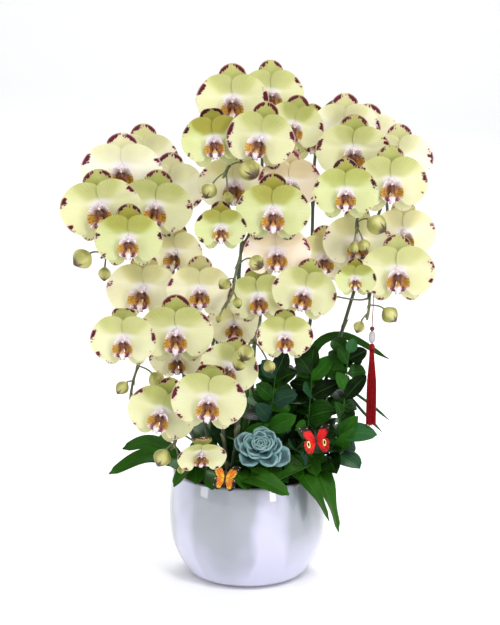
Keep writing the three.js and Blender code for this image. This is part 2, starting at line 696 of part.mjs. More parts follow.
const butterflies = [
  {
    name: "butterfly_orange", finish: "orange", at: [225, 478, -116], span: 43, roll: 8, rise: 30,
    foot: [-26, -88], way: [[232, 485, -92], [229, 482, -108]],
  },
  {
    name: "butterfly_red", finish: "red", at: [316, 440, -84], span: 47, roll: -8, rise: 26,
    foot: [65, -34], way: [[308, 448, -50]],
  },
];

function addButterfly({ name, at, span, roll, rise, foot, way, finish: paint }) {
  const half = span / 2;
  const wing = (side) => {
    const shape = new THREE.Shape(wingOutline.map(([x, y]) => new THREE.Vector2(x * half, y * half)));
    const plate = new THREE.ExtrudeGeometry(shape, { depth: 0.9, bevelEnabled: false });
    plate.translate(0, 0, -0.45).rotateY(-THREE.MathUtils.degToRad(rise));
    if (side < 0) plate.rotateZ(Math.PI).rotateX(Math.PI);
    return solid(plate);
  };
  const belly = [[0, -0.62 * half], [1.6, -0.2 * half], [2, 0.25 * half], [0, 0.6 * half]];
  const abdomen = solid(turned(belly, 6).rotateX(-Math.PI / 2));
  const place = seen(at);
  const stand = new THREE.Matrix4().makeRotationY(THREE.MathUtils.degToRad(roll))
    .multiply(new THREE.Matrix4().makeRotationX(THREE.MathUtils.degToRad(78))).setPosition(place);
  const insect = joined([wing(1), wing(-1), abdomen]).transform(stand.elements);
  const low = new THREE.Vector3(foot[0], foot[1], medium.edge - rootDepth);
  const bends = [low, low.clone().setZ(medium.crown + 8), ...way.map(seen), place];
  const wire = new THREE.CatmullRomCurve3(bends, false, "centripetal");
  stands.push({ x: foot[0], y: foot[1], radius: 2.4, sides: 4 });
  add(name, joined([insect, tube(wire, 0.8, 7, 4)]), finishes[paint]);
}
butterflies.forEach(addButterfly);

// The growing medium, with a plain hole for everything that stands in it.
const filling = stands.reduce((body, { x, y, radius, sides }) => {
  const wide = radius + clearance / Math.cos(Math.PI / sides);
  return body.subtract(upright(wide, sides, medium.edge - rootDepth - clearance, medium.crown + 20, x, y));
}, solid(turned(mediumProfile, pot.sides)));
add("growing_medium", cleaned(filling), finishes.bark);

// The tassel hangs from spike 6 by a thread that goes once round it.
const tassel = { on: 0.91, thread: 1.2, bead: 3.3, oval: [4.6, 17], skirt: 114 };

function addTassel() {
  const { foot, way } = sprays.find(({ name }) => name === "6");
  const spike = through(foot, way);
  const t = tassel.on;
  const [top, along] = [spike.getPointAt(t), spike.getTangentAt(t)];
  const aside = along.clone().cross(new THREE.Vector3(0, 0, 1)).normalize();
  const behind = along.clone().cross(aside);
  const loop = spikeRadius + clearance + tassel.thread / 2 + 1.3;
  const ring = [200, 150, 100, 50, 0, -50].map((degrees, i) => {
    const turn = THREE.MathUtils.degToRad(degrees);
    return top.clone().addScaledVector(aside, loop * Math.cos(turn))
      .addScaledVector(behind, loop * Math.sin(turn)).addScaledVector(along, 0.4 * i);
  });
  const front = top.clone().add(new THREE.Vector3(0.5, -loop - 4, -4));
  const beadTop = seen([369.5, 329, -80]);
  const low = new THREE.Vector3(front.x, front.y - 1, beadTop.z);
  const thread = new THREE.CatmullRomCurve3([...ring, front, low], false, "centripetal");
  add("tassel_cord", tube(thread, tassel.thread / 2, 15, 8), finishes.thread);
  const [x, y] = [low.x, low.y];
  const red = tassel.bead;
  const [width, height] = tassel.oval;
  const beads = [[0, 0], [2, -0.6], [red, -red], [2, -2 * red + 0.6], [1.6, -2 * red], [3, -2 * red - 1.5],
    [width, -2 * red - height / 2], [3, -2 * red - height + 1.5], [0, -2 * red - height]];
  const beadZ = low.z - clearance;
  add("tassel_bead", solid(turned([...beads].reverse(), 8).translate(x, y, beadZ)), finishes.bead);
  const skirtZ = beadZ - 2 * red - height - clearance;
  const skirt = [[0, 0], [3.6, -1], [4.4, -6], [3.6, -8], [4.6, -12], [6.4, -50], [7.6, -tassel.skirt],
    [0, -tassel.skirt]];
  add("tassel_skirt", solid(turned([...skirt].reverse(), 10).translate(x, y, skirtZ)), finishes.thread);
}
addTassel();

export default group;
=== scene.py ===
"""Potted moth orchid: arching sprays of pale yellow, maroon-blotched blooms in a white glazed pot.

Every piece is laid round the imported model, in its frame: the pot's base is at z 0 and the blooms face -Y.
Lengths in the tables and the shape functions are millimetres, and turn to metres when a piece is finished.
"""

import math
import random

import bmesh
import bpy
from bpy.props import FloatProperty, FloatVectorProperty, PointerProperty
from mathutils import Matrix, Vector, noise


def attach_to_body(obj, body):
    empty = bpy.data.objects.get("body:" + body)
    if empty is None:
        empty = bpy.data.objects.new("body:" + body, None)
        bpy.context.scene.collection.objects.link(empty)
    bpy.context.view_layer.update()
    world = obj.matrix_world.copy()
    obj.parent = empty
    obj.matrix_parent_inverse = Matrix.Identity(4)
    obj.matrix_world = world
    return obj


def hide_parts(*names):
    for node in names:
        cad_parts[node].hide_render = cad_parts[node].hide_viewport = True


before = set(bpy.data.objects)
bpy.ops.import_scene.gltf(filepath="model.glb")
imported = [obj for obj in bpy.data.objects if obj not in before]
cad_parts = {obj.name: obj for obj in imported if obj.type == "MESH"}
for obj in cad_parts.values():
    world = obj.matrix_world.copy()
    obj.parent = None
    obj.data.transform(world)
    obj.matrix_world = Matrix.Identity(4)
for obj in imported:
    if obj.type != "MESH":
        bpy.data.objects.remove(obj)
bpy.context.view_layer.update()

bl_info = {
    "name": "Potted moth orchid",
    "version": (1, 0, 0),
    "blender": (4, 5, 0),
    "location": "View3D > Sidebar > Orchid",
    "description": "Builds a potted moth orchid, piece by piece, round its packed model",
    "category": "Add Mesh",
}

MM = 0.001

# The eye that the tables' pixels are seen from, in mm, its lens and picture in pixels, its dip, and its
# sensor's width in mm.
EYE = Vector((3.6, -1594.0, 590.0))
LENS = 1144.0
PHOTO = (500, 625)
DIP = math.radians(7.7)
SENSOR = 36.0

# The heights of the growing medium's edge and middle, and of the feet of all that stands in it, in mm.
EDGE = 138.0
CROWN = 142.0
FEET = EDGE - 11

# Each row is one plant with its flower spike, and the last has a second spike. foot is its x and y in the
# pot in mm. A place is its pixel in the photograph and its depth y in mm, and way lists a stalk's places
# above its foot. A bloom has a width in mm, and in degrees a yaw to the right, a tilt downwards and a
# clockwise roll. cup is 1 on an open bloom and more on one that is still cupped. For a width of 1, curl is
# the radius by which its dorsal sepal rolls forward and lip is how far its lip is turned aside. Its pedicel
# leaves the spike by lead mm before the nearest place, and bends aside by bow or passes the place over. A
# bud has its width and height in mm.
SPRAYS = [
    dict(
        name="1",
        foot=[-48, 18],
        way=[[186, 330, 70], [164, 240, 96], [146, 172, 100], [139, 142, 78], [136, 164, 50],
             [137, 190, 36], [137, 214, -4], [127, 240, -48], [111, 251, -72], [101, 258, -84]],
        blooms=[
            dict(at=[144, 158, 22], width=98, yaw=8, hue="ivory"),
            dict(at=[122, 168, -24], width=112, lead=-22, bow=[0, 6, -8], hue="ivory"),
            dict(at=[171, 187, 4], width=96, yaw=8, hue="ivory"),
            dict(at=[101, 205, -62], width=112, yaw=-8, roll=-8),
            dict(at=[155.5, 205, -40], width=102, yaw=8, roll=8),
            dict(at=[129, 238, -98], width=90, hue="green"),
        ],
        buds=[
            dict(at=[82, 259, -92], size=[29, 28]),
            dict(at=[104.5, 274, -88], size=[17, 20]),
        ],
    ),
    dict(
        name="2",
        foot=[-62, -26],
        way=[[186, 400, 24], [182, 320, 46], [178, 258, 60], [176, 236, 40], [175, 260, 10],
             [168, 296, -32], [157, 324, -62], [144, 347, -92], [139, 363, -100], [133.5, 380, -103],
             [130, 400, -103]],
        blooms=[
            dict(at=[176, 252, -28], width=82, yaw=-16, hue="pale", lip=-0.03),
            dict(at=[144, 288, -62], width=102, yaw=-10, hue="pale", lip=-0.035),
            dict(at=[200, 289, -80], width=89, hue="pale"),
            dict(at=[176, 331, -112], width=100),
            dict(at=[124, 338, -122], width=88, yaw=-5, curl=0.055),
            dict(at=[178, 356, -84], width=78, yaw=-8, tilt=12, hue="pale"),
        ],
        buds=[
            dict(at=[122, 388, -108], size=[18, 21]),
            dict(at=[157, 380.5, -106], size=[22, 26]),
            dict(at=[137, 408, -104], size=[17, 21]),
        ],
    ),
    dict(
        name="3",
        foot=[-16, 40],
        way=[[236, 330, 66], [243, 220, 92], [249, 112, 98], [251, 80, 74], [250, 108, 42], [247, 134, 4],
             [240, 154, -26], [230, 165, -42], [223, 178, -52]],
        blooms=[
            dict(at=[232.5, 99, -16], width=100),
            dict(at=[271, 93, 16], width=91, yaw=8),
            dict(at=[214, 139, -50], width=88, roll=-5, cup=1.5, hue="green", curl=0.07),
            dict(at=[262, 138, -72], width=96, yaw=-18, roll=8, lip=-0.03),
        ],
        buds=[
            dict(at=[250, 170.6, -84], size=[29, 32]),
            dict(at=[209, 191, -62], size=[22, 24]),
            dict(at=[228, 199, -62], size=[16, 20]),
        ],
    ),
    dict(
        name="4",
        foot=[0, 0],
        way=[[252, 390, 44], [258, 280, 66], [262, 180, 80], [262, 150, 60], [262, 174, 34], [261, 196, 12],
             [257, 216, -24], [250, 232, -52], [242, 250, -76], [235, 277, -98], [232, 294, -104],
             [222, 310, -108]],
        blooms=[
            dict(at=[234, 183, -8], width=101, hue="pale"),
            dict(at=[273, 210, -98], width=98, hue="green"),
            dict(at=[289, 182, -52], width=88, yaw=8, hue="peach"),
            dict(at=[221, 227, -106], width=69, cup=3, hue="green"),
            dict(at=[277, 251, -82], width=90, hue="peach"),
        ],
        buds=[
            dict(at=[257, 263, -134], size=[21, 23]),
            dict(at=[224, 284, -106], size=[16, 18]),
            dict(at=[237.5, 303, -108], size=[13, 16]),
            dict(at=[219, 319, -109], size=[9, 11]),
        ],
    ),
    dict(
        name="5",
        foot=[30, 42],
        way=[[309, 330, 70], [312, 240, 92], [316, 150, 98], [327, 106, 80], [346, 100, 66], [364, 124, 62],
             [373, 158, 54], [370, 184, 22], [365, 195, -12], [361, 205, -44], [357, 221, -66],
             [357, 233, -78]],
        blooms=[
            dict(at=[294, 125, -10], width=83, yaw=8, roll=12, over=[295, 110, 14]),
            dict(at=[312, 135, 22], width=87),
            dict(at=[345, 128, 4], width=98, over=[346, 103, 20], hue="ivory"),
            dict(at=[368, 138, 28], width=99, hue="ivory"),
            dict(at=[399, 158, -2], width=94, lead=-8, hue="ivory"),
            dict(at=[353, 150, -28], width=103, roll=3),
            dict(at=[390.5, 181, -56], width=99, yaw=5),
            dict(at=[345.3, 191, -86], width=87, hue="green"),
        ],
        buds=[
            dict(at=[377, 225, -84], size=[28, 31]),
            dict(at=[364, 246, -82], size=[17, 19]),
            dict(at=[354, 248, -80], size=[15, 19]),
        ],
    ),
    dict(
        name="6",
        foot=[60, 14],
        way=[[329, 371, 8], [337, 347, 8], [352, 298, 22], [370, 240, 54], [385, 200, 50], [387, 222, 18],
             [380, 250, -2], [374, 274, -28], [370, 294, -58], [369, 308, -70], [367, 320, -74]],
        blooms=[
            dict(at=[403, 232, -24], width=90, hue="pale"),
            dict(at=[357, 240, -36], width=95, hue="pale"),
            dict(at=[397, 270, -66], width=102),
            dict(at=[324, 256, -22], width=85, hue="pale"),
            dict(at=[305, 291, -97], width=87, yaw=-8, roll=12),
            dict(at=[355, 278, -112], width=54, cup=3.4, hue="green"),
        ],
        buds=[
            dict(at=[390, 315, -76], size=[24, 25]),
            dict(at=[359, 327, -80], size=[16, 18]),
        ],
    ),
    dict(
        name="7",
        foot=[-24, -50],
        way=[[242, 400, -40], [257, 330, 2], [263, 282, 16], [264, 262, -4], [263, 280, -30],
             [262, 302, -54], [260, 320, -72], [257, 333, -102], [252, 343, -134]],
        blooms=[
            dict(at=[258, 296, -86], width=83, roll=-5),
            dict(at=[285, 335, -136], width=74, curl=0.06),
            dict(at=[234, 322, -46], width=79, tilt=10, hue="pale"),
        ],
        buds=[
            dict(at=[246, 353, -150], size=[22, 25]),
            dict(at=[239, 365, -150], size=[18, 17]),
            dict(at=[269.5, 367, -146], size=[16, 18]),
        ],
        second=dict(
            way=[[222, 420, -50], [218, 352, -16], [215, 332, -30], [212, 352, -66], [207, 378, -104],
                 [196, 399, -128], [184, 420, -140], [176, 440, -148], [171, 450, -152]],
            blooms=[
                dict(at=[229, 366, -118], width=81, yaw=12, roll=22),
                dict(at=[209, 398, -166], width=97, roll=5, curl=0.05),
                dict(at=[163, 411, -146], width=91, yaw=-8, roll=18),
                dict(at=[201, 452, -170], width=64, yaw=12, tilt=30, cup=2.2, curl=0.045),
            ],
            buds=[
                dict(at=[162, 458, -158], size=[24, 25]),
                dict(at=[181, 470, -152], size=[10, 12]),
            ],
        ),
    ),
]

STRAP_LEAVES = [
    dict(plant="2", way=[[150, 456, -74], [109, 474, -100]], width=24, face=0.55),
    dict(plant="2", way=[[192, 462, -92], [174, 487, -124]], width=28),
    dict(plant="2", way=[[150, 443, -50], [122.5, 449, -66]], width=24, face=0.6),
    dict(plant="7", way=[[256, 478, -108], [289, 495, -124]], width=32, face=0.45),
    dict(plant="4", way=[[292, 466, -50], [311, 488, -98], [329, 521, -110]], width=32),
    dict(plant="6", way=[[310, 461, -26], [323, 484, -70], [338.5, 532, -84]], width=34),
    dict(plant="6", way=[[318, 345, 30], [342, 336, 34], [389, 359, 30]], width=15, face=0.6),
    dict(plant="1", way=[[196, 430, 60], [160, 440, 118]], width=46),
    dict(plant="3", way=[[232, 415, 96], [214, 436, 168]], width=48),
    dict(plant="5", way=[[288, 415, 100], [312, 436, 166]], width=48),
    dict(plant="5", way=[[318, 420, 62], [352, 428, 104]], width=42),
    dict(plant="3", way=[[252, 390, 84], [262, 398, 132]], width=44),
]

# Short broad leaves at the crowns, which hide the bark behind the rim.
LOW_LEAVES = [
    dict(plant="2", way=[[196, 468, -76], [196, 484, -112]], width=34),
    dict(plant="2", way=[[176, 460, -60], [178, 470, -96]], width=36),
    dict(plant="7", way=[[216, 474, -84], [212, 490, -114]], width=34),
    dict(plant="6", way=[[300, 468, -84], [270, 483, -110]], width=30),
    dict(plant="7", way=[[236, 474, -88], [248, 490, -116]], width=34),
    dict(plant="7", way=[[246, 462, -76], [262, 476, -108]], width=32),
    dict(plant="4", way=[[266, 462, -52], [276, 480, -108]], width=34),
    dict(plant="4", way=[[284, 460, -48], [300, 480, -98]], width=34),
    dict(plant="6", way=[[304, 456, -34], [316, 476, -84]], width=34),
    dict(plant="3", way=[[236, 440, 20], [250, 446, -20]], width=40),
    dict(plant="1", way=[[206, 448, 0], [196, 456, -40]], width=38),
]

# Tall leaves that rise behind the sprigs, painted darker as shade.
TALL_LEAVES = [
    dict(plant="3", way=[[243, 424, 62], [247, 392, 84]], width=50),
    dict(plant="3", way=[[226, 436, 60], [222, 412, 84]], width=46),
    dict(plant="4", way=[[262, 440, 22], [268, 404, 34]], width=52),
    dict(plant="5", way=[[276, 424, 66], [281, 380, 84]], width=54),
    dict(plant="5", way=[[296, 428, 60], [304, 384, 76]], width=54),
    dict(plant="6", way=[[302, 440, 28], [316, 404, 38]], width=50),
    dict(plant="6", way=[[318, 446, 24], [336, 418, 34]], width=44),
]

AERIAL_ROOTS = [
    dict(plant="6", way=[[330, 386, 0], [347, 389, -6], [370, 404, -8], [389, 420, -6]]),
    dict(plant="6", way=[[330, 398, -8], [346, 395, -14], [364, 413, -18], [382, 432, -16]]),
]

SPRIGS = [
    dict(
        name="sprig_left", foot=[11, -30], way=[[266, 440, -28], [272, 404, -30], [276, 372, -24]],
        leaves=[
            dict(start=0.98, tip=[286, 351, -26], width=22),
            dict(start=0.95, tip=[262, 360, -34], width=21),
            dict(start=0.9, tip=[297, 371, -34], width=23),
            dict(start=0.78, tip=[256, 384, -42], width=22),
            dict(start=0.74, tip=[297, 394, -42], width=25),
            dict(start=0.6, tip=[256, 404, -46], width=22),
            dict(start=0.52, tip=[296, 416, -50], width=25),
            dict(start=0.58, tip=[239, 447, -28], width=24),
            dict(start=0.92, tip=[264, 372, 6], width=28),
            dict(start=0.86, tip=[292, 364, 8], width=28),
            dict(start=0.72, tip=[248, 396, 2], width=28),
            dict(start=0.68, tip=[288, 400, 6], width=28),
            dict(start=0.5, tip=[290, 424, 2], width=30),
        ],
        fill=[
            dict(start=0.42, tip=[250, 468, -58], width=30),
            dict(start=0.36, tip=[234, 464, -62], width=26),
            dict(start=0.26, tip=[238, 480, -98], width=27),
            dict(start=0.24, tip=[262, 488, -106], width=26),
            dict(start=0.24, tip=[288, 482, -100], width=27),
            dict(start=0.5, tip=[250, 428, -4], width=32),
            dict(start=0.6, tip=[243, 412, 6], width=30),
            dict(start=0.42, tip=[284, 444, -10], width=36),
            dict(start=0.8, tip=[272, 392, 22], width=30),
            dict(start=0.62, tip=[276, 416, 24], width=34),
        ],
    ),
    dict(
        name="sprig_middle", foot=[44, -22], way=[[304, 440, -20], [310, 400, -18], [312, 368, -12]],
        leaves=[
            dict(start=0.98, tip=[314, 346, -12], width=22),
            dict(start=0.95, tip=[296, 352, -10], width=22),
            dict(start=0.9, tip=[333, 356, -16], width=23),
            dict(start=0.82, tip=[303, 390, -34], width=24),
            dict(start=0.78, tip=[340, 382, -26], width=23),
            dict(start=0.62, tip=[334, 410, -44], width=38),
            dict(start=0.5, tip=[296, 426, -44], width=26),
            dict(start=0.42, tip=[334, 430, -30], width=28),
            dict(start=0.88, tip=[296, 376, 16], width=28),
            dict(start=0.72, tip=[292, 404, 24], width=30),
            dict(start=0.5, tip=[314, 420, -2], width=28),
            dict(start=0.34, tip=[290, 446, -40], width=28),
        ],
        fill=[
            dict(start=0.3, tip=[304, 468, -76], width=27, blue=0.8),
            dict(start=0.34, tip=[326, 464, -58], width=30),
            dict(start=0.5, tip=[322, 442, 4], width=36),
            dict(start=0.4, tip=[304, 456, 6], width=36),
            dict(start=0.62, tip=[312, 414, 26], width=34),
            dict(start=0.75, tip=[326, 394, 20], width=30),
            dict(start=0.88, tip=[322, 368, 12], width=26),
            dict(start=0.45, tip=[334, 446, -44], width=32),
        ],
    ),
    dict(
        name="sprig_right", foot=[86, -6],
        way=[[332, 452, -30], [340, 420, -44], [346, 392, -36], [347, 368, -30], [349, 352, -28]],
        leaves=[
            dict(start=0.99, tip=[354, 338, -28], width=15),
            dict(start=0.95, tip=[367, 350, -28], width=20),
            dict(start=0.92, tip=[338, 347, -28], width=17),
            dict(start=0.76, tip=[337, 372, -36], width=16),
            dict(start=0.7, tip=[366, 375, -40], width=22),
            dict(start=0.58, tip=[336, 402, -58], width=17),
            dict(start=0.48, tip=[377, 434, -60], width=27),
            dict(start=0.44, tip=[358, 416, -56], width=19),
            dict(start=0.32, tip=[354, 428, -68], width=20),
            dict(start=0.33, tip=[360, 468, -78], width=34),
            dict(start=0.27, tip=[322, 470, -70], width=28),
        ],
        fill=[
            dict(start=0.42, tip=[356, 444, -16], width=30),
            dict(start=0.36, tip=[342, 462, -24], width=32),
            dict(start=0.56, tip=[348, 414, -8], width=26),
            dict(start=0.68, tip=[330, 388, -8], width=26),
            dict(start=0.8, tip=[352, 384, -4], width=22),
            dict(start=0.3, tip=[336, 472, -84], width=30),
            dict(start=0.4, tip=[326, 452, -80], width=26),
        ],
    ),
]

BUTTERFLIES = [
    dict(name="butterfly_orange", at=[225, 478, -116], span=43, roll=8, rise=30, foot=[-26, -88],
         way=[[232, 485, -92], [229, 482, -108]], finish="orange", eyes=0),
    dict(name="butterfly_red", at=[316, 440, -84], span=47, roll=-8, rise=26, foot=[65, -34],
         way=[[308, 448, -50]], finish="red", eyes=1),
]


def seen(place):
    """The point in mm that shows at a pixel of the photograph, at the depth y."""
    u, v, y = place
    fall = DIP - math.atan((PHOTO[1] / 2 - v) / LENS)
    reach = y - EYE.y
    drop = reach * math.tan(fall)
    along = reach * math.cos(DIP) + drop * math.sin(DIP)
    return Vector((EYE.x + (u - PHOTO[0] / 2) * along / LENS, y, EYE.z - drop))


def colour(text):
    """A linear colour from its sRGB hex value."""
    values = [int(text[i:i + 2], 16) / 255 for i in (1, 3, 5)]
    return [c / 12.92 if c <= 0.04045 else ((c + 0.055) / 1.055) ** 2.4 for c in values] + [1.0]


def smooth(low, high, value):
    """Rises smoothly from 0 at low to 1 at high."""
    t = min(max((value - low) / (high - low), 0.0), 1.0)
    return t * t * (3 - 2 * t)


def bump(centre, width, value):
    """A soft hump, 1 at its centre."""
    return math.exp(-(((value - centre) / width) ** 2))


def mix(a, b, t):
    """The value at the share t of the way from a to b."""
    return a + (b - a) * t


def spline(points, per_span):
    """A centripetal curve through the points."""
    ends = [2 * points[0] - points[1], *points, 2 * points[-1] - points[-2]]
    places = []
    for p0, p1, p2, p3 in zip(ends, ends[1:], ends[2:], ends[3:]):
        d0, d1, d2 = (max((b - a).length, 1e-6) ** 0.5 for a, b in ((p0, p1), (p1, p2), (p2, p3)))
        leave = ((p1 - p0) / d0 - (p2 - p0) / (d0 + d1) + (p2 - p1) / d1) * d1
        arrive = ((p2 - p1) / d1 - (p3 - p1) / (d1 + d2) + (p3 - p2) / d2) * d1
        for k in range(per_span):
            t = k / per_span
            h = 2 * t ** 3 - 3 * t ** 2 + 1
            places.append(
                p1 * h + p2 * (1 - h) + leave * (t ** 3 - 2 * t ** 2 + t) + arrive * (t ** 3 - t ** 2))
    return places + [points[-1].copy()]


def bezier(points, count):
    """A Bezier curve of any degree as count + 1 places."""
    places = []
    for k in range(count + 1):
        level = [p.copy() for p in points]
        while len(level) > 1:
            level = [a.lerp(b, k / count) for a, b in zip(level, level[1:])]
        places.append(level[0])
    return places


class Route:
    """A line through places, read by the share of its length."""

    def __init__(self, places):
        self.places = places
        self.marks = [0.0]
        for a, b in zip(places, places[1:]):
            self.marks.append(self.marks[-1] + (b - a).length)
        self.length = self.marks[-1]

    def span(self, share):
        """The number of the place before a share of the length, and the share of the way to the next."""
        mark = min(max(share, 0.0), 1.0) * self.length
        low, high = 0, len(self.marks) - 1
        while high - low > 1:
            half = (low + high) // 2
            if self.marks[half] <= mark:
                low = half
            else:
                high = half
        return low, (mark - self.marks[low]) / max(self.marks[low + 1] - self.marks[low], 1e-9)

    def at(self, share):
        """The point at a share of the length."""
        i, t = self.span(share)
        return self.places[i].lerp(self.places[i + 1], t)

    def tangent(self, share):
        """The way that the line runs at a share of the length."""
        i, _ = self.span(share)
        a = self.places[max(i - 1, 0)]
        b = self.places[min(i + 2, len(self.places) - 1)]
        return (b - a).normalized()

    def even(self, count):
        """The line as count + 1 evenly spaced points."""
        return [self.at(k / count) for k in range(count + 1)]


# Corners nearer than this are one corner: in mm, and on a bloom of width 1.
WELD = 1e-5
BLOOM_WELD = 1e-6

# The mask of a skin whose material reads none.
UNPAINTED = (0, 0, 0, 0)


def new_mesh():
    """An empty mesh with a UV map and the paint mask that the materials read."""
    bm = bmesh.new()
    bm.loops.layers.uv.new("UVMap")
    bm.verts.layers.float_color.new("paint")
    return bm


def bent_grid(bm, columns, rows, place, paint, material):
    """A grid bent to shape: place(s, r) gives each corner's place, s and r from 0 to 1.

    paint is the mask of the whole grid, or paint(s, r) gives each corner's.
    """
    mask = bm.verts.layers.float_color["paint"]
    made = bmesh.ops.create_grid(bm, x_segments=columns, y_segments=rows, size=0.5, calc_uvs=True)["verts"]
    spots = []
    for vert in made:
        s, r = round(vert.co.x + 0.5, 5), round(vert.co.y + 0.5, 5)
        spots.append((vert, s, r))
        vert.co = place(s, r)
        vert[mask] = paint(s, r) if callable(paint) else paint
    faces = {face for vert in made for face in vert.link_faces}
    for face in faces:
        face.material_index = material
        face.smooth = True
    return spots, faces


def shell(bm, columns, rows, place, paint, material=0, weld=WELD):
    """A closed skin: the grid's sides meet, and its ends close to a point."""
    spots, faces = bent_grid(bm, columns, rows, place, paint, material)
    bmesh.ops.remove_doubles(bm, verts=[vert for vert, _, _ in spots], dist=weld)
    bmesh.ops.recalc_face_normals(bm, faces=[face for face in faces if face.is_valid])


def blade(bm, columns, rows, place, thickness, paint, material=0, weld=WELD):
    """A thin closed blade: two skins that part in the middle and meet at the rim."""
    rim = []
    for side in (1, -1):
        spots, faces = bent_grid(bm, columns, rows, place, paint, material)
        for face in faces:
            face.normal_update()
        for vert, _, _ in spots:
            vert.normal_update()
        lift = [(vert, vert.normal * (side * thickness * rim_share(s, r) / 2)) for vert, s, r in spots]
        for vert, offset in lift:
            vert.co += offset
        rim += [vert for vert, s, r in spots if rim_share(s, r) == 0]
        if side < 0:
            bmesh.ops.reverse_faces(bm, faces=list(faces))
    bmesh.ops.remove_doubles(bm, verts=rim, dist=weld)


def rim_share(s, r):
    """0 on the rim of a blade, and 1 from a tenth of its width inwards."""
    return min(1.0, max(0.0, min(s, 1 - s, r, 1 - r)) * 10) ** 0.5


def tube(bm, places, radius, paint, sides=8, material=0):
    """A round stem along places, closed at its ends. radius may be a function of the share of its length."""
    normal = Vector((1.0, 0.3, 0.1))
    rings = []
    for i, centre in enumerate(places):
        along = (places[min(i + 1, len(places) - 1)] - places[max(i - 1, 0)]).normalized()
        normal = (normal - along * normal.dot(along)).normalized()
        rings.append((centre, normal.copy(), along.cross(normal)))
    rings = [rings[0], *rings, rings[-1]]
    last = len(rings) - 1

    def place(s, r):
        i = round(r * last)
        centre, out, side = rings[i]
        share = (min(max(i, 1), last - 1) - 1) / (last - 2)
        size = radius(share) if callable(radius) else radius
        if i in (0, last):
            size = 0.0
        turn = 2 * math.pi * s
        return centre + (out * math.cos(turn) + side * math.sin(turn)) * size

    shell(bm, sides, last, place, paint, material)


def turned(bm, profile, sides, centre, paint, material=0):
    """A turned skin: profile is a list of (radius, height), from the axis back to the axis."""
    last = len(profile) - 1

    def place(s, r):
        radius, height = profile[round(r * last)]
        turn = 2 * math.pi * s
        return centre + Vector((radius * math.cos(turn), radius * math.sin(turn), height))

    shell(bm, sides, last, place, paint, material)


def add_to_scene(name, data):
    """A new object of a mesh, a light or a camera."""
    made = bpy.data.objects.new(name, data)
    bpy.context.scene.collection.objects.link(made)
    return made


def finish_piece(bm, name, materials, node, slot, matrix=Matrix(), sharp=60):
    """Makes the mesh an object at the origin that rides on the part and stands for its CAD node."""
    bmesh.ops.transform(bm, matrix=Matrix.Scale(MM, 4) @ matrix, verts=bm.verts[:])
    mesh = bpy.data.meshes.new(name)
    bm.to_mesh(mesh)
    bm.free()
    for material in materials:
        mesh.materials.append(material)
    mesh.set_sharp_from_angle(angle=math.radians(sharp))
    piece = add_to_scene(name, mesh)
    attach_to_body(piece, "root")
    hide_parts(node)
    return piece


def add_node(tree, kind, links=(), stops=(), **settings):
    """Adds a shader node. links gives an input its value, its colour as hex text, or what feeds it.

    stops are the places and colours of a ramp.
    """
    made = tree.nodes.new(f"ShaderNode{kind}")
    for name, value in settings.items():
        setattr(made, name, value)
    for name, value in dict(links).items():
        if isinstance(value, bpy.types.Node):
            value = next(socket for socket in value.outputs if socket.enabled)
        if isinstance(value, bpy.types.NodeSocket):
            tree.links.new(value, made.inputs[name])
        else:
            made.inputs[name].default_value = colour(value) if isinstance(value, str) else value
    for _ in stops[2:]:
        made.color_ramp.elements.new(0.5)
    for stop, (place, shade) in zip(made.color_ramp.elements if stops else (), stops):
        stop.position = place
        stop.color = colour(shade) if isinstance(shade, str) else (*shade, 1.0)
    return made


# The places of a colour Mix node's two colours among its sockets.
MIX_A = 6
MIX_B = 7


def blank_material(name):
    """A material and its empty node tree."""
    material = bpy.data.materials.new(name)
    material.use_nodes = True
    material.node_tree.nodes.clear()
    return material, material.node_tree


